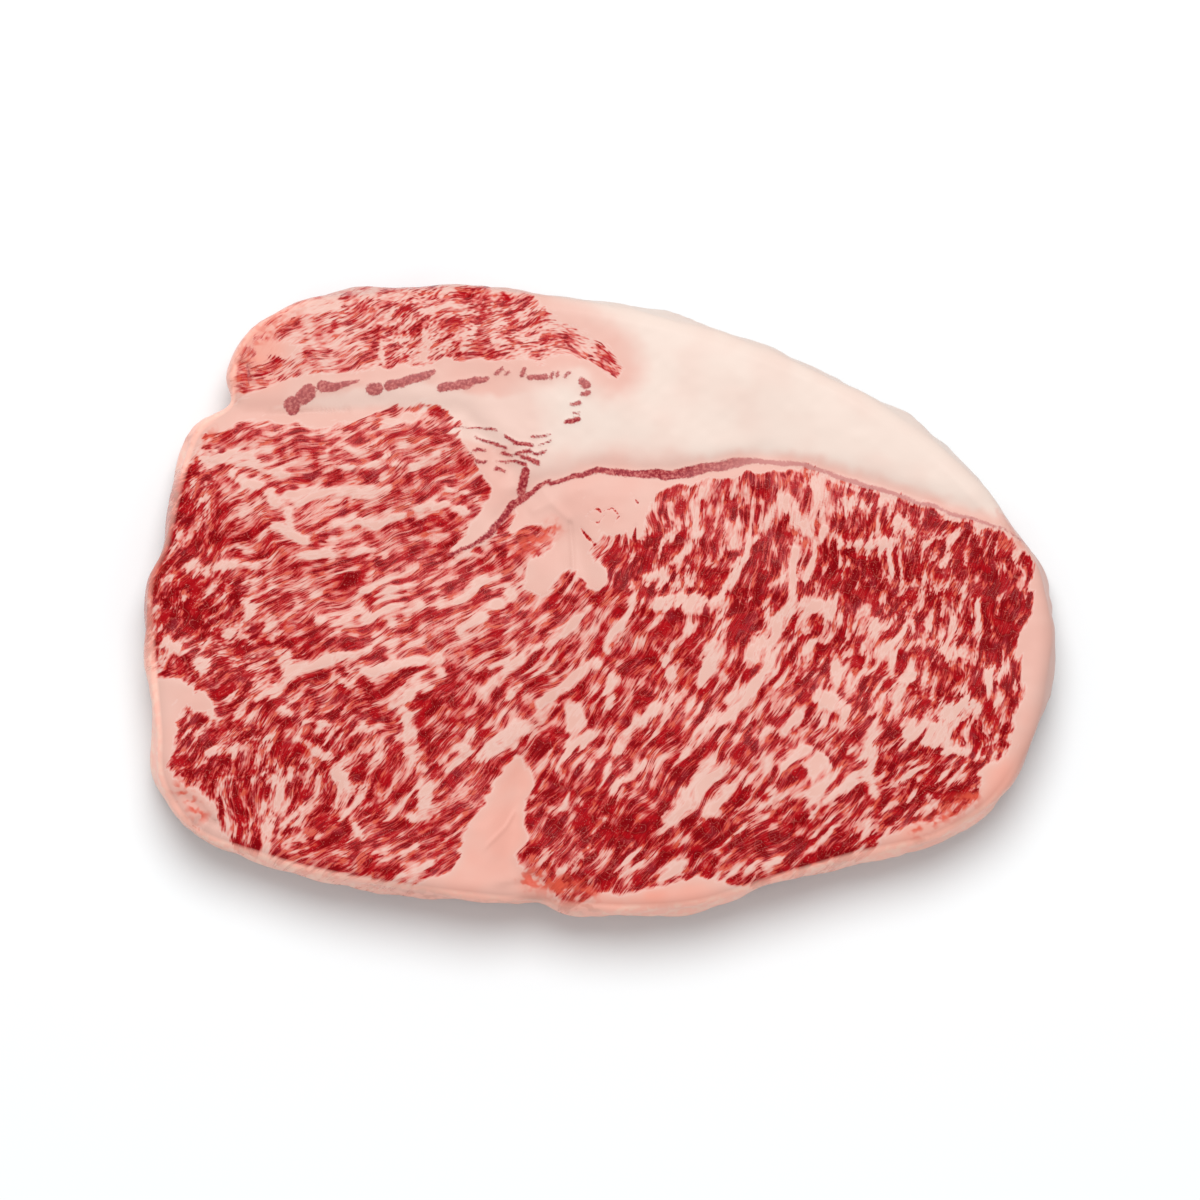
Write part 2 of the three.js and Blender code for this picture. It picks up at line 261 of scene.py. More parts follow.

# %% [markdown]
# ## Where the fat lies
#
# A cut steak has three kinds of fat. Bodies of fat lie between the muscles: the broad kernel at the upper
# right, the seam under the cap muscle, the wedge at the lower edge and the rim at the right. Veins run
# through the muscles as long tapering lagoons. The finest marbling is left to the material. The bodies are
# rounded polygons, which are quicker to draw than curves with handles.

# %% Bodies of fat, as rings of knots in millimetres
FAT_BODIES = {
    "kernel": [
        (-20, 68), (-20, 62.6), (-12.5, 60.6), (-10.4, 57.2), (-4, 54.4), (2, 50.4), (5, 46.2), (2.2, 44.2),
        (-2, 48.4), (-12, 47.6), (-20, 47.8), (-28, 46.6), (-26.4, 35.6), (-26, 31), (-22, 25), (-21.8, 20.6),
        (-26.5, 13), (-29, 9.4), (-22, 12.5), (-17, 20), (-9.6, 22.8), (0, 25.4), (12, 24.8), (20, 26),
        (32, 28), (40, 27), (52, 23.6), (64, 19.6), (76, 16), (88, 10.4), (98, 20), (20, 68),
    ],
    "seam": [
        (-79, 35.8), (-73, 39), (-67, 41.8), (-61.6, 44), (-47.4, 45.4), (-35, 46.8), (-28, 48), (-24, 42),
        (-26, 36), (-32.4, 39), (-42, 38.4), (-53, 34.6), (-63.4, 35.6), (-75, 36),
    ],
    "under the strip": [
        (-16, 18.4), (-11, 22.5), (0, 25), (9, 24.6), (20, 25), (30, 26.8), (38, 26.8), (30, 26), (20, 24),
        (10.5, 21), (9, 14), (8, 11.4), (6, 13.5), (2, 13.4), (-0.8, 11), (-2, 8.4), (1, 5.4), (1.6, 3.4),
        (-0.8, 2), (-4, 5), (-7, 5.6), (-9.5, 3.4), (-12, 1.6), (-14.4, 2.8), (-13.6, 6.4), (-9.4, 9.4),
        (-8, 13), (-10.6, 15.4), (-14, 15.4), (-17.2, 13.4),
    ],
    "wedge": [
        (-16, -31), (-13.4, -35), (-14.2, -41), (-14.2, -46.4), (-16.6, -51.6), (-14, -54.6), (-9, -58.2),
        (-9, -66), (-36, -66), (-36, -57.4), (-29, -53.4), (-27, -49.4), (-26, -45.4), (-22.6, -41),
        (-20, -36), (-17.6, -32.4),
    ],
    "lower edge": [
        (-3, -61), (0, -58.8), (8, -58.4), (12, -57), (18, -56.2), (24, -56.8), (29, -58), (38, -56.4),
        (38, -61), (20, -68), (-4, -68),
    ],
    "right rim": [
        (83.6, 12), (87, 8), (86.4, 2), (85.2, -5.6), (83, -10.8), (84.8, -14), (84.4, -20), (82.4, -27.2),
        (81, -31.4), (76.6, -34.4), (76, -38.4), (73.4, -42), (70.6, -43.8), (62.4, -44.4), (56.6, -47.8),
        (53.6, -52), (52, -62), (80, -62), (98, -40), (98, 20),
    ],
    "trimmed corner": [
        (-94, -14), (-87, -16), (-80.6, -17.6), (-75.4, -23), (-79, -22.4), (-82, -21.2), (-83.6, -24.4),
        (-84.4, -29), (-85, -34), (-82.6, -37.4), (-78.2, -39.2), (-76.2, -41.4), (-75.6, -45), (-74, -47.8),
        (-70, -50.8), (-66, -53), (-70, -60), (-94, -60),
    ],
    "upper left corner": [
        (-86, 25.4), (-83.4, 27.4), (-80.8, 29.6), (-79.4, 32.8), (-77.2, 34.2), (-73, 34.8), (-74, 39),
        (-86, 38),
    ],
}
print("bodies of fat:", len(FAT_BODIES))

# %% [markdown]
# Veins of fat taper to both ends and fork, so each is a chain of places with a half width at each. Only those
# longer than about 3 mm are drawn. Curve objects could hold the same chains, but here they are only
# used to measure distances from.

# %% Fat veins, as chains of (x, y, half width) in millimetres
SIDE_MUSCLE_VEINS = [
    [(-79, 29, 1.4), (-71, 28.4, 1.2), (-63, 25.6, 0.9)], [(-73, 25.6, 0.9), (-64.6, 21, 1.1)],
    [(-65, 19.6, 1.3), (-58, 21, 1.2), (-48, 22.6, 0.8)], [(-62.8, 19.6, 1), (-60.4, 13.4, 0.8)],
    [(-47.4, 20.8, 1.2), (-42.4, 21.4, 1)], [(-64.2, 14.2, 1.1), (-58.6, 12.6, 0.9)],
    [(-76.8, 6.6, 0.7), (-71.2, 7.6, 1), (-68, 7, 0.5)],
    [(-59.2, 8.8, 1.1), (-52.8, 9.6, 1.2), (-45.2, 10.6, 0.7)],
    [(-47, 1.8, 0.9), (-42, 2.2, 1.3), (-36, 3.8, 0.8)],
    [(-55.2, -4.4, 1), (-44.2, -3, 1.4), (-35.4, -0.6, 0.8)], [(-70.6, -0.8, 0.8), (-69, -3, 0.8)],
    [(-74.4, -6.2, 1), (-70.6, -7.2, 1)], [(-88, -8.4, 0.6), (-81.6, -10.8, 0.9), (-78.6, -13.4, 1.2)],
    [(-62.2, -11, 1.4), (-61.6, -15, 1.2)], [(-62, -14.4, 1.2), (-54, -12, 1.1), (-46, -10.2, 0.7)],
    [(-47, -13.8, 0.9), (-39, -12.6, 1.4), (-32, -11.6, 1.2)], [(-67.2, -20, 0.6), (-62.2, -15.6, 0.9)],
    [(-52.2, -15.4, 1), (-48.6, -17.4, 1)], [(-63, -21.8, 0.9), (-60.4, -22.8, 0.7)],
    [(-68.6, -27.6, 0.6), (-64.4, -26.6, 0.5)], [(-78, -30.4, 0.6), (-72.4, -29.2, 0.9), (-71.8, -33, 0.7)],
    [(-66.4, -34.4, 1.2), (-63.6, -38, 1.5), (-66, -41.6, 1), (-66, -46, 1), (-65.8, -50.8, 0.8)],
    [(-63, -45, 1), (-59, -42.4, 1.1)],
    [(-60, -28, 0.8), (-53.8, -31.4, 1.5), (-50.6, -37, 1.3), (-50.2, -42.4, 1.1)],
    [(-48.6, -43.6, 0.9), (-47, -47, 0.7)], [(-40.8, -21, 0.8), (-36.8, -18.4, 1.1), (-31.4, -14.6, 1)],
    [(-38.6, -21.6, 1), (-37.2, -27.6, 1.5), (-34.8, -35.4, 1.7), (-35, -42, 1.1)],
    [(-39, -42.8, 0.7), (-34, -42.6, 1)], [(-39.4, -50.6, 0.9), (-36.8, -49.6, 0.8)],
    [(-38, -54.6, 0.8), (-34, -52.4, 0.9)], [(-58, -24, 0.5), (-54, -24.6, 0.7)],
    [(-36, 18.6, 0.7), (-31, 18.8, 0.9), (-27, 17.4, 0.8)],
    [(-42, 26.4, 0.6), (-37, 27, 0.8), (-32, 29.4, 0.6)],
    [(-54, 26.4, 0.5), (-47, 26.6, 0.8), (-41, 28.8, 0.5)],
    [(-44, 34.6, 0.5), (-38.6, 36.2, 1), (-33, 36.4, 0.6)],
    [(-56, 29.6, 0.4), (-48, 30.4, 0.6), (-43, 32.2, 0.4)], [(-30, 23, 0.6), (-26.6, 21.8, 0.9)],
    [(-52, 15.2, 0.5), (-45, 15.6, 0.7), (-39, 17.4, 0.5)], [(-28, 8.4, 0.6), (-23, 9.4, 0.5)],
    [(-84, 20, 0.4), (-81, 24, 0.5)], [(-80, 12, 0.4), (-78.6, 16, 0.5)],
]
MIDDLE_VEINS = [
    [(-27.8, 0.4, 0.7), (-22.8, 4.4, 1.1)], [(-27, -5.4, 1.3), (-19.4, -0.4, 1.5), (-15.4, 3, 1.3)],
    [(-22, -17.6, 0.8), (-16.2, -12, 1), (-11.4, -8.8, 1.1), (-6.2, -6.2, 0.9), (-3.6, -3.6, 0.8)],
    [(-11.4, -20, 0.9), (-6, -16, 1.3), (-1.2, -12, 1.4)], [(1.6, -9.6, 1.1), (3.8, -5, 1.4)],
    [(2.8, -15.6, 1.6), (1.8, -20.4, 0.9)], [(-5.2, -21.8, 2), (-4, -26.4, 2.4), (-8, -33.6, 0.5)],
    [(-23.4, -31.4, 0.9), (-16, -25.4, 1.7), (-9.2, -21.2, 0.9)], [(3.6, -38.6, 0.6), (9, -32.2, 0.9)],
    [(4.4, -29, 0.9), (10.6, -22.6, 1.1), (15, -19, 1.1)], [(-1, -40, 0.4), (3, -32.6, 0.8)],
    [(17, -31, 0.9), (21.6, -25.4, 1.4), (30.2, -17.8, 1.6), (36.8, -10.4, 2.1)],
    [(-24, -14, 0.5), (-18.6, -12.4, 0.8)], [(12.6, -43.8, 0.9), (19.4, -38.2, 2.1), (25.4, -31.6, 0.8)],
    [(22, -42.8, 1.4), (25.6, -39, 1.6), (28.4, -36, 0.8)],
    [(27.6, -46.4, 0.6), (32, -42, 0.8), (36, -38, 0.6)],
    [(32, -27.2, 0.8), (36, -25.4, 1.2), (39.6, -22.6, 0.9)], [(12.2, -10.4, 0.9), (14.2, -14.8, 1)],
    [(22.8, -9.8, 1.9), (20.8, -16.8, 1.1)], [(-30, -34, 0.5), (-26.4, -29, 0.9)],
    [(-9, -43, 0.4), (-6, -38, 0.7)], [(-2, -49, 0.5), (1, -44, 0.7)], [(-8, -54.6, 0.6), (-4, -51, 1)],
    [(4, -54.6, 0.7), (7, -51, 0.7)], [(13, -55, 1), (17, -53, 1.3)], [(-20, -20.6, 0.4), (-15.4, -17, 0.6)],
    [(-14, 4.6, 1.2), (-11, 6.6, 1.9)],
]
EYE_VEINS = [
    [(18, 6.6, 0.9), (18.4, 3, 1.1)], [(10, -0.8, 1.3), (16, -0.6, 2), (21.2, -1.2, 2), (24.6, 0, 1.2)],
    [(24.6, 0.2, 1.2), (27.4, 7.2, 1), (31, 12.2, 0.8)],
    [(24.4, 9.2, 1.1), (26.2, 12.6, 1.4), (28.4, 15.8, 0.9)],
    [(19.8, 22, 0.7), (19.8, 18, 1.1), (19.6, 13.6, 1)], [(38, 20.4, 1), (39, 17.2, 1.5), (39.4, 14.4, 0.8)],
    [(44, 24.6, 1.1), (43.4, 18, 1.5), (41.6, 13.4, 1)],
    [(39.2, 9.8, 0.7), (38, 4.6, 1.1), (37.4, -0.6, 1.9), (34.8, -6.6, 2.5), (31.2, -11, 1.9)],
    [(44.6, 13.6, 0.9), (42.4, 8, 1), (41, 4.4, 1.3)],
    [(41.4, -0.4, 1.6), (45.6, -1.8, 1.4), (47.8, -4.4, 1.2)],
    [(8.2, 4.4, 0.5), (12.2, 5.8, 0.8), (13.4, 3.4, 0.5)], [(48.6, 10.6, 0.8), (58.8, 11.6, 0.9)],
    [(59, 14.6, 0.7), (58.4, 6, 0.7)], [(48.6, 20.6, 0.6), (49, 17, 0.7)],
    [(64.4, 10.8, 0.7), (67.4, 12.8, 0.8)], [(59.8, 15.6, 0.7), (61.6, 14, 0.7)],
    [(70.2, 4.6, 0.5), (72.2, 0.8, 0.7)], [(70.8, -4, 0.7), (69, -8.4, 1.5), (70, -12, 0.8)],
    [(55.4, -4.4, 0.9), (53, -11, 1.1)], [(62, -4.8, 1), (58.8, -9.6, 1), (58.4, -15.4, 0.6)],
    [(46.8, -10.8, 1), (47.4, -16.6, 1.2)], [(43.4, -19.6, 1.5), (48.4, -21.8, 1.6)],
    [(54.6, -22, 0.7), (60.2, -17, 1.3), (63, -15, 0.7)],
    [(61.4, -25.6, 2.3), (67.8, -27.4, 2.1), (70.2, -21.8, 2), (74, -20.2, 1.3)],
    [(37.2, -33.4, 1.2), (41.6, -30.6, 2), (44.2, -33.4, 1.9), (42.6, -41.2, 1)],
    [(46, -39.8, 0.7), (51.8, -33.6, 1)], [(54.8, -30.4, 1), (53, -34, 0.9), (54.6, -38.6, 1)],
    [(51, -49.8, 0.8), (54, -45, 1.1)], [(43.2, -50.2, 0.7), (46.2, -46, 0.8)],
    [(29.4, -54.2, 0.8), (35.8, -50.8, 1.1)], [(65.4, -38.8, 0.8), (65.8, -38.8, 0.8)],
    [(72, -33.6, 0.6), (76.4, -31.2, 0.7)], [(59.8, -36.4, 0.7), (61.8, -33.8, 0.8)],
    [(68.4, -29.8, 0.8), (72.2, -29.6, 0.8)], [(78, -14, 0.5), (78.4, -20, 0.7)],
    [(66, -1.6, 0.5), (65.4, -6.6, 0.7)], [(34.4, 19.6, 0.6), (33.2, 14.8, 0.8)],
    [(12.8, 17, 0.6), (14, 12.8, 0.8)], [(51.6, 4.6, 0.3), (51.2, 0.6, 0.5)],
    [(75.4, 10.6, 0.3), (73, 6.4, 0.4)],
]
CAP_VEINS = [
    [(-34.8, 54.6, 0.5), (-34.2, 48.2, 0.7)], [(-27.4, 50, 0.5), (-24.6, 54.2, 0.6)],
    [(-43.4, 51.4, 0.4), (-43, 47.6, 0.7)], [(-67, 51, 1.4), (-60, 49.6, 1.4)],
    [(-20.4, 52, 0.4), (-15, 52.8, 0.6)], [(-48, 53.4, 0.3), (-40, 55.2, 0.5)],
    [(-62, 57.2, 0.5), (-56, 57.4, 0.7), (-52, 59, 0.5)],
]
STRIP_EDGE = [
    [(12, 24.4, 0.8), (20, 25, 0.8), (32, 26.8, 0.8), (40, 26.2, 0.5), (48, 23.8, 0.3), (64, 18.6, 0.3),
     (76, 14.9, 0.3), (85, 11.2, 0.5)],
]
VEINS = SIDE_MUSCLE_VEINS + MIDDLE_VEINS + EYE_VEINS + CAP_VEINS + STRIP_EDGE
print("veins:", len(VEINS))

# %% [markdown]
# ## The dark strip and its beads
#
# A thin sheet of muscle lies in the fat. Where the knife met it on edge it shows as one long dark strip over
# the eye, and where it met it in folds it shows as a row of round beads under the cap muscle and a cluster of
# dashes where the two rows meet. They are strokes too, kept apart from the veins because they are dark
# instead of pale. Thin curls of lean lie in the fat nearby, and blood has dried orange red on the trimmed
# edges.

# %% The strip, the beads, the dashes, the curls and the embers, as chains of (x, y, half width)
STRIP = [
    [(88, 10.4, 0.15), (76, 15.8, 0.3), (64, 19.3, 0.35), (52, 23.4, 0.4), (40, 27.1, 0.45), (32, 28, 0.6),
     (26, 27.3, 0.85), (20, 26.1, 1.05), (14, 25, 1.1), (9, 25.2, 0.8), (0, 25.8, 0.65), (-5, 24.8, 0.6),
     (-9.4, 23.2, 0.5)],
    [(-9.8, 24, 0.4), (-13, 21.6, 0.6), (-17, 19.4, 0.8), (-19.5, 16, 0.6), (-22, 13, 0.6), (-25, 11, 0.4),
     (-30, 9, 0.4)],
    [(-14.6, 25.6, 0.9), (-15.5, 22, 0.9)],
]
BEADS = [
    [(-61.4, 39.4, 1.4), (-60.6, 38.2, 1.3)], [(-59, 40.4, 1.6), (-58, 41.4, 1.7)],
    [(-55, 42.6, 1.2), (-52.6, 42.6, 0.9), (-47.6, 43.8, 0.25)], [(-45.2, 42, 1.2), (-44.2, 42.2, 1.3)],
    [(-41.8, 42.6, 1.1), (-40.6, 42.8, 1)], [(-39.2, 43, 0.95), (-36, 44.2, 0.9), (-33, 45.6, 0.6)],
    [(-31.6, 42.2, 0.9), (-27, 42.8, 0.95), (-22.4, 44.4, 0.6)], [(-20.4, 45.2, 0.5), (-19.4, 46.2, 0.4)],
    [(-18.6, 44.8, 0.35), (-18, 45.4, 0.3)], [(-15.4, 44.6, 0.5), (-15, 45.8, 0.5)],
    [(-13.8, 44.2, 0.6), (-10.6, 44.6, 0.5)], [(-9.4, 44.4, 0.4), (-9, 45.4, 0.4)],
    [(-8, 44.6, 0.35), (-7.8, 45.4, 0.35)], [(-6.4, 44.6, 0.35), (-5.6, 45.2, 0.35)],
    [(-3.6, 43.4, 0.7), (-2.2, 42.6, 0.7)], [(-3, 41, 0.45), (-2, 41, 0.6)],
    [(-5.6, 39, 0.3), (-3.6, 39.2, 0.5)], [(-5, 37.2, 0.25), (-3.8, 37.4, 0.25)],
    [(-6.6, 35.2, 0.45), (-4, 36, 0.55)],
]
DASHES = [
    [(-24.4, 32.6, 0.2), (-20, 31.2, 0.4)], [(-19.6, 31, 0.25), (-18.4, 30.6, 0.3)],
    [(-18.2, 32.8, 0.3), (-16.4, 31.3, 0.45), (-13.4, 30.8, 0.45)], [(-13.4, 32.8, 0.3), (-9.8, 33, 0.2)],
    [(-12, 31, 0.2), (-9.4, 31.8, 0.25)], [(-25.4, 29.4, 0.2), (-24, 30.2, 0.35), (-22.2, 30, 0.25)],
    [(-19.2, 29.6, 0.45), (-17.2, 28.8, 0.35)], [(-16.2, 29, 0.4), (-13.4, 29.4, 0.45)],
    [(-12.8, 29, 0.3), (-10.8, 29.6, 0.25)], [(-24, 27.6, 0.4), (-22, 27.8, 0.3)],
    [(-20.2, 27.8, 0.2), (-16.4, 27.5, 0.35), (-14.4, 26.8, 0.35)], [(-15.2, 28.2, 0.3), (-12.2, 27.5, 0.45)],
    [(-20.2, 26.2, 0.45), (-18.8, 25.6, 0.3)], [(-28.6, 34.8, 0.15), (-20, 34.2, 0.2)],
    [(-70.4, 47.8, 0.2), (-69.8, 45.6, 0.35), (-69.5, 43.4, 0.2)],
]
CURLS = [
    [(-2.6, 16.6, 0.2), (-0.4, 18.4, 0.25), (1.2, 17, 0.2), (0, 15.4, 0.2), (-2, 16, 0.15)],
    [(1.2, 17.8, 0.2), (2.8, 18.4, 0.25), (4.2, 16.8, 0.25), (3, 15.2, 0.2)],
    [(6.2, 21.8, 0.15), (7.8, 19.4, 0.25)], [(-3.4, 14.2, 0.35), (-2.2, 12.6, 0.4), (-0.6, 11, 0.3)],
    [(7.4, 14.6, 0.5), (7, 12, 0.4)],
    [(-6.2, 4.6, 0.2), (-5.2, 2.2, 0.25), (-3.2, 1.4, 0.25), (-2.6, 3.4, 0.2), (-4.4, 4.8, 0.2)],
    [(-78.2, 32.6, 0.8), (-76.8, 31.4, 1.2)], [(-75.2, 30.4, 0.8), (-74.8, 29.8, 0.8)],
    [(-80.8, -44.8, 0.35), (-79.4, -45.6, 0.45)],
]
DARK_STROKES = STRIP + BEADS + DASHES
EMBERS = [  # where blood has dried orange red on the trimmed fat
    [(-73, 54, 4), (-74, 46, 4)], [(-62, 59, 3), (-70, 55, 4)], [(-82, 33, 1.6), (-78, 34, 1.4)],
    [(-80, -43, 2), (-84, -38, 1.4)], [(-13, -56, 2.4), (-3, -60, 2.6)], [(74, -40, 2), (64, -46, 2)],
    [(-40, -58.6, 1.2), (-18, -61, 1.2)], [(84.6, 12, 1.4), (80, 18, 0.8)], [(-88, 8, 1.2), (-90, -6, 1)],
    [(-16, 10, 1.2), (-9, 14.6, 1.4)],
]
print("dark strokes:", len(DARK_STROKES), "curls:", len(CURLS), "ember patches:", len(EMBERS))

# %% [markdown]
# ## How lean each part is
#
# Some parts of the slice are nearly all lean, such as the dark right end, and others are nearly half fat. A
# few anchors hold that balance and the depth of the red, and strokes mark the thick masses of lean and the
# thin dark edge of the eye. A painted mask could say the same, but a few numbers are easier to move.

# %% Anchors for the balance of lean and fat, and for the depth of the red
LEANNESS = [
    (-84, 6, 0.27), (-80, 22, 0.22), (-72, 26, 0), (-60, 31, 0.24), (-50, 28, 0.18), (-36, 33, 0.16),
    (-28, 26, 0.18), (-45, 18, 0.02), (-40, 13, 0.26), (-30, 12, 0.2), (-60, 2, 0.08), (-76, -3, 0.34),
    (-50, -8, 0.24), (-50, -22, 0.3), (-72, -24, 0.36), (-72, -40, 0.3), (-56, -50, 0.34), (-44, -34, 0.1),
    (-28, -24, 0.14), (-32, -8, 0.1), (-32, -46, 0.2), (-14, -4, 0), (0, -22, 0.18), (6, -12, 0.18),
    (-6, -44, 0.34), (8, -34, 0.16), (18, -47, 0.4), (38, -47, 0.32), (30, -34, 0.04), (46, -26, 0.06),
    (62, -38, 0.34), (66, -14, 0.16), (78, -14, 0.22), (80, 0, 0.16), (80, 6, 0.14), (66, 6, 0.34),
    (52, 4, 0.3), (60, -6, 0.08), (46, 8, 0.18), (31, 1, 0.26), (14, 10, 0.24), (8, 6, 0.2), (26, 20, 0.18),
    (40, 21, 0.14), (60, 16, 0.26), (72, 11, 0.32), (-68, 52, -0.34), (-56, 50, -0.2), (-44, 57, -0.08),
    (-30, 56, -0.1), (-14, 56, -0.08), (-36, 50, -0.14), (-6, 50, -0.16), (-56, 57, -0.3), (-70, 46, -0.34),
]
LEAN_MASSES = [  # thick lean with little fat in it, as chains of (x, y, half width)
    [(32.5, 10, 2.6), (30.6, 2, 3.4), (27.6, -6, 2.4)], [(48, 5, 3), (56, 2, 3.4)],
    [(22, 5, 1.8), (26, 3, 2)], [(3.8, 7, 1.4), (4.6, 4, 1.6)], [(8, 3, 1.6), (10, 0.6, 1.6)],
    [(-2.6, -45, 2), (0.6, -39.6, 2)], [(4, -48, 2.2), (6.4, -45, 2.2)],
    [(20, -46.5, 1.8), (34, -49, 2), (50, -50, 1.6)], [(79, 8, 3.6), (81, -8, 4)],
    [(-84, 24, 3), (-83, 12, 4)], [(-85, 4, 4), (-82, -5, 4)], [(-81, -33.4, 1.2), (-75, -31.8, 1.2)],
    [(-33.4, -13, 1.4), (-35, -31, 1.6)], [(-59, -11, 1.2), (-46.6, -8.6, 1.4)],
    [(9.8, -51.4, 0.4), (23.6, -47.4, 0.4)],
]
EYE_EDGE = [  # the thin dark edge of the eye muscle against the fat at the right
    [(86.2, 7.6, 0.3), (85.4, 2, 0.3), (84.2, -5.6, 0.3), (82, -10.8, 0.3), (83.6, -14.4, 0.3),
     (83.2, -20, 0.3), (81.2, -27, 0.3), (79.8, -30.6, 0.3), (75.4, -33.8, 0.3), (74.8, -38, 0.3),
     (72.4, -41, 0.3), (66, -42.4, 0.3)],
]
DEPTH_OF_RED = [
    (-84, 6, -0.15), (-60, 31, -0.15), (-36, 33, -0.2), (-60, 2, -0.1), (-50, -20, 0.15), (-72, -30, 0.25),
    (-55, -50, 0.15), (-25, 0, 0), (-10, -10, 0.2), (0, -40, 0.6), (20, -45, 0.8), (20, -10, 0.45),
    (31, 0, 0.5), (50, -40, 0.65), (52, 4, 0.7), (80, 0, 0.9), (66, -10, 0.6), (20, 15, 0.2), (40, 20, 0.2),
    (-56, 50, -0.4), (-14, 56, -0.25), (-30, 56, -0.25), (-40, 54, -0.3),
]
print("anchors of leanness:", len(LEANNESS), "masses:", len(LEAN_MASSES), "depths of red:", len(DEPTH_OF_RED))

# %% [markdown]
# ## The relief of the cut face
#
# A cut face isn't flat. Muscles swell a little between their seams, the knife leaves low waves, and the
# trimmed corners have creases and crumbs. The large forms have the same values as the solid, and the creases
# and crumbs are finer than it is. All of it is added up as heights, which is simpler here than sculpting.

# %% Seams, swells, nicks, waves, creases and crumbs, in millimetres
SEAMS = [  # (path, depth, half width)
    ([(-79, 37.4), (-60, 37), (-42, 38.2), (-27, 37), (-17.5, 26)], 1.1, 2.6),
    ([(-18.8, 16), (-11.8, 22.8), (0.2, 26), (12.2, 24.8), (32.2, 28.2), (52.2, 23.8), (76.2, 17), (90, 9)],
     0.8, 2.4),
    ([(-5, 12), (-1.6, 0), (-7.8, -20), (-15.6, -38), (-18, -52), (-11, -66)], 0.9, 3.0),
]
SWELLS = [  # (middle, reach along X and Y, height)
    ((35, 38), (34, 13), 0.9), ((42, -12), (36, 26), 0.6), ((-48, -8), (30, 34), 0.7),
    ((-40, 51), (26, 9), 0.5), ((-17, -46), (6, 10), -0.5), ((-68, -42), (10, 8), -0.9),
]
NICKS = [  # (middle, reach, depth)
    ((-74.6, 41), 3.2, 0.7), ((-89.4, 9), 4, 0.6), ((-11, -61), 3.4, 0.9), ((34, -58), 5, 0.4),
    ((83, 15), 4, 0.5),
]
CUT_WAVES = [(0.35, 61, 0.35), (1.9, 43, 0.3), (2.7, 29, 0.2), (1.1, 17, 0.14)]  # (turn, length, height)
WALL_RIPPLES = [(9, 0.6, 0.45), (17, -0.9, 0.35), (31, 1.4, 0.22)]  # (count, lean, height)
CREASES = [  # (path, depth, half width); a crease of negative depth is a ridge
    ([(-5.6, 15), (-5.2, 9), (-4.9, 1)], 0.30, 0.45), ([(-13, 17.6), (-9.4, 19.2), (-6, 16)], -0.25, 0.8),
    ([(-72.6, 47.4), (-70, 46.6), (-69.4, 42.6)], 0.9, 0.55),
    ([(-66, 36.8), (-58, 37.2), (-50, 37.6)], 0.35, 0.4),
    ([(-88, -36), (-80, -41), (-75, -46), (-73, -51)], 0.7, 0.8), ([(-79, -43.6), (-76, -45)], 0.8, 0.6),
    ([(-22.4, -49.4), (-18.4, -45.4), (-16.8, -42.6)], -0.22, 0.35),
    ([(-14, -55), (-9.6, -58), (-7, -62)], 0.9, 0.9), ([(-36, -56.6), (-24, -58.4), (-15, -56.8)], 0.7, 0.7),
    ([(-4, -55), (-1, -58), (-3, -62)], 0.8, 0.8), ([(60, -15.6), (66, -15.2)], 0.2, 0.4),
    ([(24, 18.6), (29, 20.4)], 0.35, 0.6),
]
CRUMBS = [  # (x, y, radius, height)
    (80.6, 16.4, 0.7, 0.5), (82.4, 14.8, 0.9, 0.6), (79, 18.6, 0.6, 0.4), (83.8, 13.2, 0.6, 0.5),
    (-71.4, 46.2, 0.7, 0.7), (-4.2, -57, 1.2, 0.8), (-1.2, -58.4, 0.9, 0.6), (-6.6, -58.6, 0.8, 0.5),
    (-78.2, -44.6, 0.8, 0.5), (-60.6, 7.2, 0.3, 0.25),
]


def on_path(x, y, path):
    """Distance to a path of straight stretches."""
    return np.min([to_stretch(x, y, a, b)[0] for a, b in zip(path, path[1:])], axis=0)


def seam_depth(x, y):
    """The deepest of the seams at each point; each is a Gaussian valley along its path."""
    return np.max([depth * bell(on_path(x, y, path), width) for path, depth, width in SEAMS], axis=0)


def face_height(x, y):
    """Height of the cut face: the thickness, less the seams, plus the swells and the low waves of the cut."""
    height = THICKNESS - seam_depth(x, y)
    for (cx, cy), (rx, ry), rise in SWELLS:
        height += rise * bell(np.hypot((x - cx) / rx, (y - cy) / ry), 1)
    for turn, length, rise in CUT_WAVES:
        height += rise * np.sin(2 * np.pi * (x * np.cos(turn) + y * np.sin(turn)) / length + turn)
    return height


def fine_relief(x, y):
    """Height of the creases and crumbs that are finer than the solid: valleys along paths, and domes."""
    height = np.zeros(x.shape)
    for path, depth, width in CREASES:
        height -= depth * bell(on_path(x, y, path), width)
    for cx, cy, radius, rise in CRUMBS:
        height += rise * bell(np.hypot(x - cx, y - cy), radius)
    return height


def cut_relief(x, y):
    """Small unevenness of a knife cut: lattice noise at two sizes, 5 mm and 2 mm."""
    coarse = 0.16 * (lattice_noise(x / 5.1, y / 4.3) - 0.5)
    return coarse + 0.09 * (lattice_noise(x / 1.9 + 40, y / 1.7 + 9) - 0.5)


print("height of the face at its middle, mm:", np.round(face_height(np.zeros(1), np.zeros(1)), 1))

# %% [markdown]
# ## The fields
#
# One function gathers everything above and answers, for any point of the slice, how lean it is, how dark its
# red is, how creamy or blushed its fat is, whether it is part of the dark strip, and which way its fibres
# run. The same function serves the face, the wall and the underside, so the marbling runs right through the
# slice.

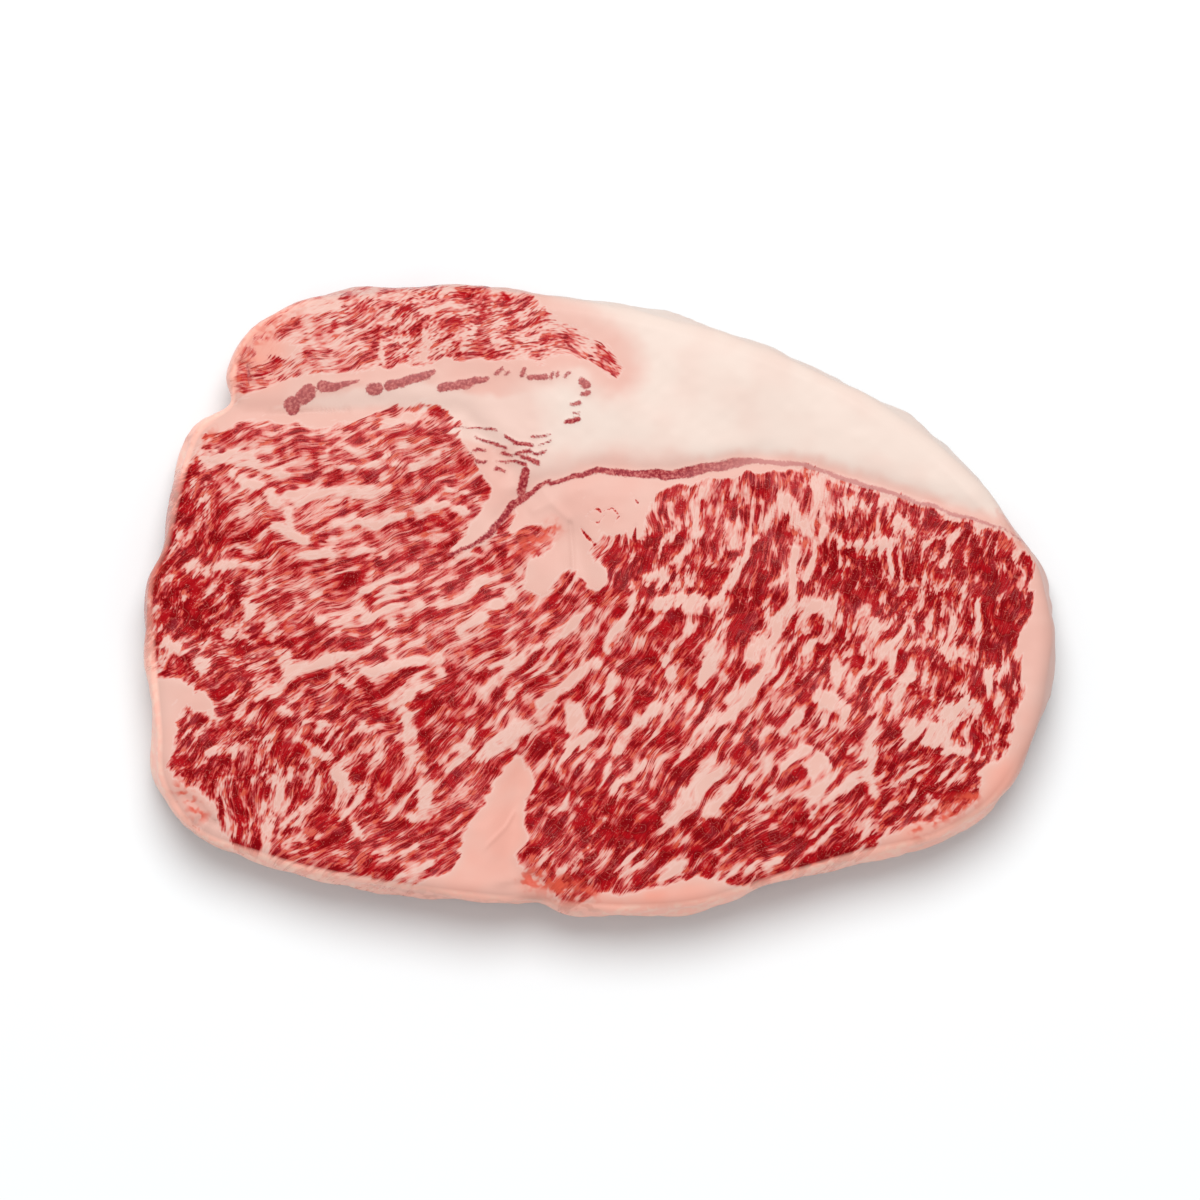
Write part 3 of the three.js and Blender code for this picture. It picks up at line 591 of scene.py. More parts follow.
# %% The fields at any points of the slice
FACE_SHIFT = 0.3  # millimetres that its tilt to the viewer moves the slice's upper face up in the picture
EXTRA_LEAN = 0.07  # added everywhere, to set how lean the whole slice is
CURL_LEAN = 0.4  # balance along the thin curls of lean that lie in fat
MASS_PUSH, EYE_EDGE_PUSH = 0.55, 0.7  # how far these push the balance towards lean
BODY_PULL, VEIN_PULL, SKIN_PULL = 3.2, 1.35, 0.6  # how far these pull it towards fat
PALE_SEAM = [[(-66, 38.6, 2), (-50, 40, 4.4), (-36, 41, 5), (-24, 36, 7), (-14, 36, 8), (-4, 44, 5)]]


def fields(x, y, rim_distance):
    """Smooth fields at points (x, y) in millimetres, as a dictionary of arrays.

    lean is positive where lean meat is likely and far below zero in fat. Each body and vein pulls it down by
    a smooth step of the depth inside it, wider for the bodies than for the veins, and so does the outer skin,
    except where it is trimmed bare at the left."""
    rim_x, rim_y = x, y + FACE_SHIFT
    x = rim_x + waver(rim_x, rim_y)
    y = rim_y + waver(rim_x + 185, rim_y)
    bare = smoothstep(-70, -84, x) * smoothstep(-12, -6, y) * smoothstep(28, 22, y)
    lean = spread(x, y, LEANNESS) + EXTRA_LEAN
    body_depth = {name: inside_body(x, y, knots) for name, knots in FAT_BODIES.items()}
    lean += MASS_PUSH * smoothstep(-1.4, 1.0, inside_strokes(x, y, LEAN_MASSES))
    for depth in body_depth.values():
        lean -= BODY_PULL * smoothstep(-1.1, 1.1, depth)
    lean -= VEIN_PULL * smoothstep(-0.5, 0.7, inside_strokes(x, y, VEINS))
    lean += EYE_EDGE_PUSH * smoothstep(-0.5, 0.3, inside_strokes(x, y, EYE_EDGE))
    lean += (CURL_LEAN - lean) * smoothstep(-0.3, 0.3, inside_strokes(rim_x, rim_y, CURLS))
    lean -= SKIN_PULL * smoothstep(1.0, -0.4, rim_distance) * (1 - 0.8 * bare)

    pink_reach = 3.4 + 4.0 * smoothstep(26, 8, x)
    kernel = smoothstep(0.3, pink_reach, body_depth["kernel"]) * smoothstep(-22, -6, x)
    cream = np.maximum(kernel, 0.55 * smoothstep(1.5, 3.5, inside_strokes(x, y, PALE_SEAM)))
    upper_left = smoothstep(-60, -68, x) * smoothstep(41, 45, y)
    ruddy = np.maximum(smoothstep(-1, 2, body_depth["lower edge"]), upper_left)
    ruddy = np.maximum(ruddy, 0.8 * smoothstep(-1, 2, body_depth["right rim"]) * smoothstep(-18, -34, y))
    turn = np.radians(spread(x, y, GRAIN))
    reach = spread(x, y, STROKE_LENGTH)
    return {
        "grain": np.stack([reach * np.cos(turn), reach * np.sin(turn), np.zeros(x.shape)], axis=1),
        "turn": turn,
        "lean": lean,
        "red": spread(x, y, DEPTH_OF_RED),
        "cream": np.clip(cream, 0, 1),
        "blush": np.clip(ruddy + 0.5 * smoothstep(-1, 2, body_depth["wedge"]), 0, 1),
        "dark": np.clip(inside_strokes((x + rim_x) / 2, (y + rim_y) / 2, DARK_STROKES), -1.5, 1.5),
        "pale": np.maximum(smoothstep(14, 38, x) * smoothstep(8, 14, y), 0.32 * smoothstep(36, 39, y)),
        "ember": smoothstep(-1.8, 1.4, inside_strokes(x, y, EMBERS)),
        "fine": spread(x, y, FINENESS),
        # The skin at the left and lower sides; the material paints it bright there, a painted glow over the
        # wall's shade.
        "skin": (0.85 * smoothstep(0.9, -0.3, rim_distance) * (1 - 0.45 * bare)
                 * np.maximum(smoothstep(-50, -74, x), smoothstep(-30, -46, y))),
    }


sample = fields(np.array([20.0]), np.array([-20.0]), np.array([9.0]))
print("fields:", ", ".join(sample), "- lean in the eye:", np.round(sample["lean"], 2))

# %% [markdown]
# ## The mesh of the slice
#
# The slice is one closed skin. Its cut face is a grid of cells bent to the outline: rectangles round the
# middle become rings round the middle, so the cells stay even and the outermost row lies exactly on the rim.
# A circle fan would crowd its triangles at the middle. The cells are packed closer where the thin dark strip
# and the beads lie, because they need the most points.

# %% Helpers for a grid that fills the outline
FACE_CELLS = (296, 208)  # cells of the cut face along X and Y


def crowded(count, middle, reach, gain):
    """Positions from -1 to 1 that lie closer together round a middle, by a Gaussian gain in their density."""
    fine = np.linspace(-1, 1, 4001)
    total = np.cumsum(1 + (gain - 1) * bell(fine - middle, reach))
    return np.interp(np.linspace(total[0], total[-1], count + 1), total, fine)


def way_round(a, b):
    """Share of the way round the outline that a grid point lies towards, anticlockwise from the right.

    Each grid point lies on a rectangle round the middle, and its place along that rectangle counts."""
    wide, high = FACE_CELLS
    out = np.maximum(np.maximum(abs(a), abs(b)), 1e-9)
    steps = np.select(
        [a >= abs(b), b >= abs(a), -a >= abs(b)],
        [high / 2 * b / out, high / 2 + wide / 2 * (1 - a / out), high / 2 + wide + high / 2 * (1 - b / out)],
        high / 2 + wide + high + wide / 2 * (1 + a / out))
    return steps / (2 * (wide + high)) % 1


def at_shares(ring, shares):
    """Places on a closed ring at shares of the way round it."""
    places = np.arange(len(ring) + 1) / len(ring)
    closed = np.concatenate([ring, ring[:1]])
    return np.stack([np.interp(shares, places, closed[:, axis]) for axis in (0, 1)], axis=-1)


def grid_in_ring(a_places, b_places, ring):
    """Grid points bent to fill a ring: towards it by their way round, as far out as their rectangle."""
    a, b = (v.reshape(-1) for v in np.meshgrid(a_places, b_places))
    return at_shares(ring, way_round(a, b)) * np.maximum(abs(a), abs(b))[:, None]


def grid_triangles(a_places, b_places, first, upward):
    """Two triangles for each cell, split towards the middle, so that a corner cell on the rim isn't flat."""
    wide, high = len(a_places) - 1, len(b_places) - 1
    i, j = (v.reshape(-1) for v in np.meshgrid(np.arange(wide), np.arange(high)))
    p00 = first + j * (wide + 1) + i
    p10, p01, p11 = p00 + 1, p00 + wide + 1, p00 + wide + 2
    rising = ((a_places[i] + a_places[i + 1] < 0) == (b_places[j] + b_places[j + 1] < 0))[:, None]
    one = np.where(rising, np.stack([p00, p10, p11], 1), np.stack([p00, p10, p01], 1))
    two = np.where(rising, np.stack([p00, p11, p01], 1), np.stack([p10, p11, p01], 1))
    both = np.vstack([one, two])
    return both if upward else both[:, ::-1]


def edge_of_grid(a_places, b_places, first):
    """The grid's outermost points in order, anticlockwise from the lower right corner."""
    wide, high = len(a_places) - 1, len(b_places) - 1
    right = np.arange(high) * (wide + 1) + wide
    top = high * (wide + 1) + np.arange(wide, 0, -1)
    left = np.arange(high, 0, -1) * (wide + 1)
    return first + np.concatenate([right, top, left, np.arange(wide)])


a_places = crowded(FACE_CELLS[0], -0.12, 0.27, 1.8)
b_places = crowded(FACE_CELLS[1], 0.44, 0.32, 1.6)
cells = np.diff(a_places) / 2
print("widest and narrowest cell, as shares of the slice:", np.round([cells.max(), cells.min()], 4))

# %% [markdown]
# The wall round the slice isn't straight: it bulges, has low ripples where the fat was trimmed, and folds in
# where a seam between two muscles comes out. Each of its rings is the outline pushed out or in by that much.

# %% The reach of the wall
EDGE_FOLD = 0.55  # share of a seam's depth that notches the wall at its top and bottom
folds = seam_depth(*outline.T)
for (cx, cy), reach, depth in NICKS:
    folds += depth * bell(np.hypot(outline[:, 0] - cx, outline[:, 1] - cy), reach)


def wall_reach(share):
    """How far the wall stands out at a share of its height: a parabola, plus ripples, less the folds."""
    turn = 2 * np.pi * np.arange(OUTLINE_STEPS) / OUTLINE_STEPS
    ripples = sum(height * np.sin(count * turn + 2 * np.pi * lean * share)
                  for count, lean, height in WALL_RIPPLES)
    middle = np.sin(np.pi * share)
    bulge = 4 * WALL_BULGE * share * (1 - share)
    return bulge + ripples * middle - folds * (EDGE_FOLD + (1 - EDGE_FOLD) * middle)


print("the wall's middle stands out, mm:", np.round([wall_reach(0.5).min(), wall_reach(0.5).max()], 2))

# %% [markdown]
# Fat is firmer than lean and stands a little proud of a cut face, and so does the dark strip. Both heights
# follow from the fields, so the relief and the colours always agree.

# %% Points of the cut face
FAT_PROUD, STRIP_PROUD = 0.14, 0.15


def inside_outline(x, y):
    """Distance in from the outline, and 0 outside it; every fortieth step of the outline is enough."""
    return np.maximum(inside_body(x, y, outline[::40]), 0)


face_ring = outline + (wall_reach(1.0) - UPPER_EDGE)[:, None] * outline_out
face_xy = grid_in_ring(a_places, b_places, face_ring)
face_fields = fields(*face_xy.T, inside_outline(*face_xy.T))
proud = FAT_PROUD * smoothstep(0.4, -0.9, face_fields["lean"])
proud += STRIP_PROUD * smoothstep(-0.6, 0.4, face_fields["dark"])
face_z = face_height(*face_xy.T) + fine_relief(*face_xy.T) + cut_relief(*face_xy.T) + proud
print("cut face:", len(face_xy), "points,", round(face_z.min(), 1), "to", round(face_z.max(), 1), "mm high")

# %% [markdown]
# Rings of points run from the rim of the face over the soft edge, down the wall and round the pressed lower
# edge. The underside is the same kind of grid as the face with half as many cells, because nothing fine shows
# there.

# %% Rings of the edge and the wall, and the underside
EDGE_RINGS, WALL_RINGS, PRESSED_RINGS = 5, 9, 3
DENT_SIZE, DENT_DEPTH = 3.1, 0.5  # the wall's small dents
UNDER_INSET = 1.2  # how far inside the lowest ring the flat underside starts
edge_ids = edge_of_grid(a_places, b_places, 0)
grid_a, grid_b = (v.reshape(-1) for v in np.meshgrid(a_places, b_places))
edge_shares = way_round(grid_a[edge_ids], grid_b[edge_ids])
crown = face_z[edge_ids]
straight = THICKNESS - UPPER_EDGE - LOWER_EDGE
drops = [(UPPER_EDGE * (1 - np.cos(t)), UPPER_EDGE * (1 - np.sin(t)))
         for t in np.linspace(0, np.pi / 2, EDGE_RINGS + 1)[1:]]
drops += [(UPPER_EDGE + straight * k / WALL_RINGS, 0.0) for k in range(1, WALL_RINGS + 1)]
drops += [(THICKNESS - LOWER_EDGE * (1 - np.sin(t)), LOWER_EDGE * (1 - np.cos(t)))
          for t in np.linspace(0, np.pi / 2, PRESSED_RINGS + 1)[1:]]
rings = []
for drop, inset in drops:
    share = 1 - drop / THICKNESS
    ring = outline + (wall_reach(share) - inset)[:, None] * outline_out
    u, v = ring.T / DENT_SIZE
    dents = DENT_DEPTH * (lattice_noise(u + 0.4 * drop, v + 0.15 * drop) - 0.5)
    ring = ring + (dents * np.sin(np.pi * share))[:, None] * outline_out
    rings.append(np.column_stack([at_shares(ring, edge_shares), share * crown]))

under_a, under_b = a_places[::2], b_places[::2]
under_xy = grid_in_ring(under_a, under_b, ring - UNDER_INSET * outline_out)
face_points = np.column_stack([face_xy, face_z])
under_points = np.column_stack([under_xy, np.zeros(len(under_xy))])
points = np.vstack([face_points, *rings, under_points])
print("rings:", len(rings), "of", len(edge_ids), "points, underside:", len(under_xy), "points")

# %% [markdown]
# Two triangles join each cell of the face, and each pair of neighbours on two rings. Where the rings meet the
# coarser underside, three triangles share each of its edges, so the skin has no gap.

# %% Triangles of the closed skin
edge_count = len(edge_ids)
first_ring = len(face_xy)
first_under = first_ring + edge_count * len(rings)
triangles = [grid_triangles(a_places, b_places, 0, True)]
upper = edge_ids
for k in range(len(rings)):
    lower = first_ring + k * edge_count + np.arange(edge_count)
    u0, u1, l0, l1 = upper, np.roll(upper, -1), lower, np.roll(lower, -1)
    triangles += [np.stack([u0, l0, l1], 1), np.stack([u0, l1, u1], 1)]
    upper = lower
coarse0 = edge_of_grid(under_a, under_b, first_under)
coarse1 = np.roll(coarse0, -1)
fine0, fine1, fine2 = upper[0::2], upper[1::2], np.roll(upper[0::2], -1)
for corners in ((fine0, coarse0, fine1), (fine1, coarse1, fine2), (fine1, coarse0, coarse1)):
    triangles.append(np.stack(corners, 1))
triangles.append(grid_triangles(under_a, under_b, first_under, False))
triangles = np.vstack(triangles)
print("triangles:", len(triangles))

# %% [markdown]
# The fields go onto the mesh as attributes, one value for each point, where the material can read them. They
# stay with the mesh wherever it is moved, which colours in world space wouldn't.

# %% Make the piece
WALL_EMBER = 0.45  # dried blood is fainter down the wall
mesh = bpy.data.meshes.new("steak")
mesh.from_pydata(points / METRE, [], triangles.tolist())
mesh.validate()
mesh.polygons.foreach_set("use_smooth", np.ones(len(mesh.polygons), bool))
rest_xy = points[first_ring:, :2]
rest_fields = fields(*rest_xy.T, inside_outline(*rest_xy.T))
rest_fields["ember"] *= WALL_EMBER
for name, face_values in face_fields.items():
    values = np.concatenate([face_values, rest_fields[name]]).astype(np.float32)
    kind, key = ("FLOAT_VECTOR", "vector") if values.ndim == 2 else ("FLOAT", "value")
    mesh.attributes.new(name, kind, "POINT").data.foreach_set(key, values.ravel())
steak = bpy.data.objects.new("steak_slice", mesh)
bpy.context.collection.objects.link(steak)
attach(steak, "root")
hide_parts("steak")
print("slice:", len(mesh.vertices), "points,", len(mesh.polygons), "triangles, mm:",
      np.round(np.ptp(points, axis=0), 1), "top at", round(points[:, 2].max(), 1))

# %% [markdown]
# ## The material
#
# Fine marbling is far smaller than the mesh's cells, so it is drawn by the material. Noise textures at three
# sizes are smeared along the fibres: each is read at a few places along the grain's arrow and averaged. Their
# sum is added to the smooth field of leanness, and what ends up above zero is lean. Because the noises only
# tip the balance, a vein of fat stays where it was drawn but gets the frayed edge that real fat has.
#
# Across the slice's thickness the noises change slowly, because fibres run nearly straight through a steak.
# All of them are read at places that a wider, softer noise has shifted, so the streaks wave as real fibres
# do.

# %% Node helpers
beef = bpy.data.materials.new("raw beef")
beef.use_nodes = True
tree = beef.node_tree
tree.nodes.clear()


def node(kind, sockets, **settings):
    """A new node with its settings, and its inputs linked to sockets or set to values."""
    made = tree.nodes.new(kind)
    for name, value in settings.items():
        setattr(made, name, value)
    for name, value in sockets.items():
        if isinstance(value, bpy.types.NodeSocket):
            tree.links.new(value, made.inputs[name])
        elif value is not None:
            made.inputs[name].default_value = value
    return made


def sums(operation, a, b=None, c=None):
    """One step of arithmetic on numbers."""
    return node("ShaderNodeMath", {0: a, 1: b, 2: c}, operation=operation).outputs[0]


def vectors(operation, a, b, c=None):
    """One step of arithmetic on places or arrows, for X, Y and Z each on its own."""
    return node("ShaderNodeVectorMath", {0: a, 1: b, 2: c}, operation=operation).outputs[0]


def times(a, b):
    """The product of two numbers."""
    return sums("MULTIPLY", a, b)


def plus_share(total, value, weight):
    """A total with a value added to it by its weight."""
    return sums("MULTIPLY_ADD", value, weight, total)


def step_between(value, low, high, to=(0.0, 1.0)):
    """An S-shaped step of a value between two limits, falling if the first is the higher."""
    limits = {"From Min": low, "From Max": high, "To Min": to[0], "To Max": to[1]}
    made = node("ShaderNodeMapRange", {"Value": value, **limits}, interpolation_type="SMOOTHSTEP")
    return made.outputs["Result"]


def blend(share, a, b):
    """Colour a where the share is 0 and b where it is 1."""
    return node("ShaderNodeMix", {0: share, 6: a, 7: b}, data_type="RGBA").outputs[2]


def field(name, output="Fac"):
    """One of the mesh's attributes, as a number, or as an arrow with the output Vector."""
    return node("ShaderNodeAttribute", {}, attribute_name=name).outputs[output]


print("node helpers ready in", beef.name)

# %% [markdown]
# Noises are read in millimetres of the slice itself. A millimetre of height counts for only about an eighth
# of one across, so the marbling changes little from one face to the other. An image mapped on each face would
# need a seam, and wouldn't stay crisp.

# %% Noises, plain and smeared along the fibres
NOISE_SPREAD = 0.125  # usual departure of a noise from its middle, 0.5
WAVE_SIZE, WAVE_SHIFT = 6.0, 2.2  # millimetres: the length of a wave, and how far it can shift a fibre
MM_ACROSS, MM_UP = 1000, 130  # millimetres for each metre, and the fewer that a metre of height counts for
TAPER = 1.3  # how quickly the readings count for less towards the ends of the arrow
ALIKE = 0.55  # a noise stays like itself over this share of its size
in_metres = node("ShaderNodeTexCoord", {}).outputs["Object"]
straight_where = vectors("MULTIPLY", in_metres, (MM_ACROSS, MM_ACROSS, MM_UP))
waves = node("ShaderNodeTexNoise", {"Vector": straight_where, "Scale": 1 / WAVE_SIZE, "Detail": 0.0},
             noise_dimensions="3D").outputs["Color"]
where = vectors("MULTIPLY_ADD", waves, (WAVE_SHIFT, WAVE_SHIFT, 0), straight_where)
arrow = field("grain", "Vector")


def noise(at, size, detail=0.0, roughness=0.5):
    """Soft noise from 0 to 1 whose lumps are about the given size in millimetres."""
    inputs = {"Vector": at, "Scale": 1 / size, "Detail": detail, "Roughness": roughness}
    return node("ShaderNodeTexNoise", inputs, noise_dimensions="3D").outputs["Fac"]


def centred(value):
    """A noise with its middle at 0 and its usual departure near 1."""
    return sums("MULTIPLY_ADD", value, 1 / NOISE_SPREAD, -0.5 / NOISE_SPREAD)


def smeared(size, length, count, aside, with_tips=False):
    """Noise averaged along the fibres, with its middle at 0 and its usual departure near 1.

    With tips, the difference between the two ends is returned too, which is used to give strokes a tip."""
    shares = np.linspace(-1, 1, count)
    weights = np.exp(-((TAPER * shares) ** 2))
    total, tips = 0.0, 0.0
    for share, weight in zip(shares, weights):
        along = vectors("MULTIPLY_ADD", arrow, (share * length,) * 3, where)
        value = noise(vectors("ADD", along, (aside, 0, 0)), size)
        total = plus_share(total, value, float(weight))
        if with_tips:
            tips = plus_share(tips, value, float(share / NOISE_SPREAD))
    overlap = np.exp(-((shares[:, None] - shares[None, :]) * length / size / ALIKE) ** 2)
    usual = NOISE_SPREAD * np.sqrt(weights @ overlap @ weights)
    average = sums("MULTIPLY_ADD", total, float(1 / usual), float(-0.5 * weights.sum() / usual))
    return (average, tips) if with_tips else average


print("waves of", WAVE_SIZE, "mm; a metre of height counts for", MM_UP, "mm")

# %% [markdown]
# The thinnest lines are ten times as long as they are wide, too long to smear a noise for. They come from a
# fan of noises, each stretched in one fixed direction. At each point the two whose directions are nearest to
# the fibres are blended, so a line is never more than a few degrees off the grain.

# %% Thin lines along the fibres
FAN = np.radians(np.arange(-50, 111, 20))  # the fan's directions
FAN_STEP = FAN[1] - FAN[0]
LINE_WIDTH, LINE_LENGTH = 0.24, 2.4
BLEND_GAIN = 1.2  # makes up for the contrast that blending two noises loses


def fanned(width, length, aside):
    """Noise stretched along the fibres, with its middle at 0 and its usual departure near 1.

    Each direction's noise is turned, then squeezed by its width and length. It counts in full where the
    fibres run within 0.38 steps of its direction, and fades out to nothing at 0.62."""
    near, far = float(0.38 * FAN_STEP), float(0.62 * FAN_STEP)
    total = 0.0
    for direction in (float(turn) for turn in FAN):
        inputs = {"Vector": where, "Angle": -direction}
        turned = node("ShaderNodeVectorRotate", inputs, rotation_type="Z_AXIS").outputs[0]
        scale, offset = (1 / length, 1 / width, 0.3), (aside, 7 * direction, 0)
        squeezed = vectors("MULTIPLY_ADD", turned, scale, offset)
        away = sums("ABSOLUTE", sums("SUBTRACT", field("turn"), direction))
        limits = {"From Min": near, "From Max": far, "To Min": 1.0, "To Max": 0.0}
        share = node("ShaderNodeMapRange", {"Value": away, **limits}).outputs[0]
        total = plus_share(total, centred(noise(squeezed, 1.0)), share)
    return times(total, BLEND_GAIN)


lines = fanned(LINE_WIDTH, LINE_LENGTH, 11.0)
print("fan of", len(FAN), "directions")

# %% [markdown]
# Marbling comes in sizes: broad patches, strokes a millimetre wide, wisps and thin lines. Each tips the
# balance between lean and fat by its own weight, and where the marbling is fine the wisps take weight from
# the strokes.

# %% Marbling: smeared noises and thin lines tip the balance between lean and fat
BROAD_WEIGHT, LINE_WEIGHT, FRAY_WEIGHT = 0.37, 0.09, 0.03
STROKE_WEIGHT, STROKE_GAIN = 0.48, -0.22  # the weight where marbling is broad, and what fineness adds
WISP_WEIGHT, WISP_GAIN = 0.16, 0.18
broad = smeared(3.0, 2.4, 3, 300.0)
strokes, tips = smeared(1.2, 2.6, 10, 100.0, with_tips=True)
wisps = smeared(0.45, 0.66, 6, 200.0)
fray = centred(noise(where, 0.4, 1.0))
balance = plus_share(field("lean"), broad, BROAD_WEIGHT)
balance = plus_share(balance, strokes, sums("MULTIPLY_ADD", field("fine"), STROKE_GAIN, STROKE_WEIGHT))
balance = plus_share(balance, wisps, sums("MULTIPLY_ADD", field("fine"), WISP_GAIN, WISP_WEIGHT))
balance = plus_share(balance, lines, LINE_WEIGHT)
balance = plus_share(balance, fray, FRAY_WEIGHT)
is_lean = step_between(balance, -0.15, 0.15)
print("marbling from", len(tree.nodes), "nodes")

# %% [markdown]
# Lean isn't one red. Where a stroke is thick it is deep crimson, and towards its edge the fat shows through,
# so it turns bright red and then salmon. Fat is pale where it is deep and pinker near lean. The colours were
# judged against the real slice, then divided by the studio's brightness.

# %% The scale of colours from fat to lean
STUDIO = 1.60  # light on a face that looks up, with 1 as the level that shows a colour as it is
# The wall's skin colours are divided by this lower light, so they are painted brighter than the fat itself: a
# painted glow over the wall's shade.
WALL_LIGHT = 1.0  # the same for the upper part of the wall
MEAT_COLOURS = [  # (balance, colour), from deep fat to deep lean
    (-1.6, (241, 188, 174)), (-1.15, (245, 200, 188)), (-0.75, (241, 181, 168)), (-0.38, (238, 160, 148)),
    (-0.16, (233, 139, 129)), (0.0, (226, 115, 107)), (0.13, (216, 92, 88)), (0.28, (205, 70, 68)),
    (0.45, (191, 48, 49)), (0.65, (175, 28, 32)), (0.88, (157, 10, 17)), (1.3, (140, 2, 10)),
]
MOST_FAT, MOST_LEAN = -1.6, 1.4
RED_DEPTH = 0.3  # how far the field of red shifts the scale


def under_studio(rgb, light=STUDIO):
    """A pictured colour, 0 to 255, as the surface colour that shows it in this studio's light.

    It is first turned into even steps of light, by the usual curve of pictures, and then divided by the light
    that falls on the surface."""
    c = np.array(rgb) / 255
    even = np.where(c <= 0.04045, c / 12.92, ((c + 0.055) / 1.055) ** 2.4)
    return (*(even / light), 1.0)


def paint(share, under, rgb):
    """A pictured colour laid over another colour by its share."""
    return blend(share, under, under_studio(rgb))


def ramp(value, stops):
    """Colours along a value from 0 to 1."""
    made = node("ShaderNodeValToRGB", {"Fac": value})
    elements = made.color_ramp.elements
    while len(elements) < len(stops):
        elements.new(0.5)
    for element, (at, rgb) in zip(elements, stops):
        element.position = at
        element.color = under_studio(rgb)
    return made.outputs["Color"]


mood = smeared(2.2, 2.0, 3, 500.0)
variation = sums("MULTIPLY_ADD", mood, -0.11, -0.1)
variation = plus_share(variation, tips, -0.05)
variation = plus_share(variation, lines, 0.05)
depth = plus_share(balance, variation, is_lean)
depth = plus_share(depth, times(field("red"), is_lean), RED_DEPTH)
along_scale = node("ShaderNodeMapRange", {"Value": depth, "From Min": MOST_FAT, "From Max": MOST_LEAN})
colour_stops = [((at - MOST_FAT) / (MOST_LEAN - MOST_FAT), rgb) for at, rgb in MEAT_COLOURS]
meat_colour = ramp(along_scale.outputs["Result"], colour_stops)
print("colours from fat to lean:", len(MEAT_COLOURS))

# %% [markdown]
# Fresh lean varies from stroke to stroke: some patches are vivid, some dull and purple, and one end of a
# stroke is often orange red. Thin dark lines run between the fibres, and a few pale threads lie over them.
# Tiny pale specks over the lean are painted highlights, where a wet surface would glint.

# %% Patches, tips, lines and threads in the lean, and painted glints
DULL, VIVID, ORANGE = (162, 50, 60), (192, 16, 26), (226, 92, 66)
# PAINTED_GLINT is the colour of painted highlights, not a colour of the meat.
DARK_LINE, PALE_LINE, THREAD, PAINTED_GLINT = (138, 14, 26), (226, 104, 92), (238, 130, 116), (240, 140, 128)
patches = noise(where, 3.0, 1.0)
dull = times(step_between(mood, 0.7, 2.0, (0.0, 0.4)), is_lean)
meat_colour = paint(dull, meat_colour, DULL)
vivid = times(step_between(patches, 0.50, 0.64, (0.0, 0.7)), step_between(balance, 0.1, 0.4))
meat_colour = paint(vivid, meat_colour, VIVID)
near_edge = times(step_between(balance, -0.3, 0.0), step_between(balance, 0.7, 0.2))
meat_colour = paint(times(step_between(tips, 0.7, 3.2, (0.0, 0.8)), near_edge), meat_colour, ORANGE)
dark_line = times(step_between(lines, 0.9, 1.9, (0.0, 0.65)), step_between(balance, -0.5, 0.05))
meat_colour = paint(dark_line, meat_colour, DARK_LINE)
pale_line = times(step_between(lines, -1.3, -2.3, (0.0, 0.25)), is_lean)
meat_colour = paint(pale_line, meat_colour, PALE_LINE)
off_thread = sums("ABSOLUTE", sums("SUBTRACT", patches, 0.5))
thread = times(step_between(off_thread, 0.012, 0.003, (0.0, 0.2)), is_lean)
meat_colour = paint(thread, meat_colour, THREAD)
# Painted highlights: tiny pale specks that stand for glints of light on the wet lean.
painted_glint = times(step_between(noise(where, 0.3), 0.69, 0.79, (0.0, 0.35)), is_lean)
meat_colour = paint(painted_glint, meat_colour, PAINTED_GLINT)
print("nodes with the lean's detail:", len(tree.nodes))

# %% [markdown]
# Thick fat is creamy in the kernel and pinker elsewhere, with faint clouds. Its pink blush is set a little
# brighter than the fat's own pink, as painted light over the shade along the lower edge. The trimmed skin of
# the wall is pink fat flecked with cream, painted as bright as a face that looks up, which is a painted glow
# over the shade of the left and lower wall, and where blood has dried on it there are orange red flecks.

# %% The fat bodies, the skin of the wall with its painted glow, and the dried blood
CREAM, BLUSH_WITH_PAINTED_LIGHT, CLOUD, EMBER = (248, 227, 215), (251, 172, 153), (241, 205, 192), (230, 92, 70)
PINK_SKIN, PALE_SKIN = (253, 188, 170), (251, 203, 184)
is_fat = step_between(balance, -0.2, -0.8)
colour = paint(times(field("cream"), is_fat), meat_colour, CREAM)
# The blush is real pink fat, set a little brighter as painted light over the shade along the lower edge.
colour = paint(times(field("blush"), is_fat), colour, BLUSH_WITH_PAINTED_LIGHT)
cloud = step_between(noise(where, 9.0, 1.0), 0.35, 0.7, (0.0, 0.3))
colour = paint(times(cloud, is_fat), colour, CLOUD)
flecks = noise(vectors("MULTIPLY", straight_where, (1, 1, 3)), 1.6, 1.0)
# Painted glow: the skin's pink and pale colours are made as bright as on a face that looks up, over the shade
# of the wall.
skin_colour_with_painted_glow = blend(step_between(flecks, 0.42, 0.66), under_studio(PINK_SKIN, WALL_LIGHT),
                    under_studio(PALE_SKIN, WALL_LIGHT))
colour = blend(field("skin"), colour, skin_colour_with_painted_glow)
ember = times(field("ember"), step_between(flecks, 0.42, 0.62, (0.15, 0.9)))
colour = paint(ember, colour, EMBER)
print("nodes with the fat:", len(tree.nodes))

# %% [markdown]
# The dark strip is another muscle, cut across its fibres, so it is a dull purple red with fine dots instead
# of streaks. Towards the right end it thins out and the fat under it shows through.

# %% The dark strip and its beads
STRIP_COLOURS = [(0.0, (214, 124, 116)), (0.4, (184, 74, 76)), (1.0, (146, 34, 46))]
THIN_STRIP = (212, 144, 138)
dots = noise(straight_where, 0.55, 2.0, 0.6)
strip_colour = paint(field("pale"), ramp(step_between(dots, 0.3, 0.7), STRIP_COLOURS), THIN_STRIP)
is_strip = step_between(plus_share(field("dark"), fray, 0.07), -0.2, 0.2)
colour = blend(is_strip, colour, strip_colour)
print("nodes with the strip:", len(tree.nodes))

# %% [markdown]
# Lean sits a hair lower than fat, and its fibres leave lines in the surface. They are far finer than the
# mesh, so a Bump node draws them. The soft light leaves no wide highlights on the real slice, so its gloss is
# low.

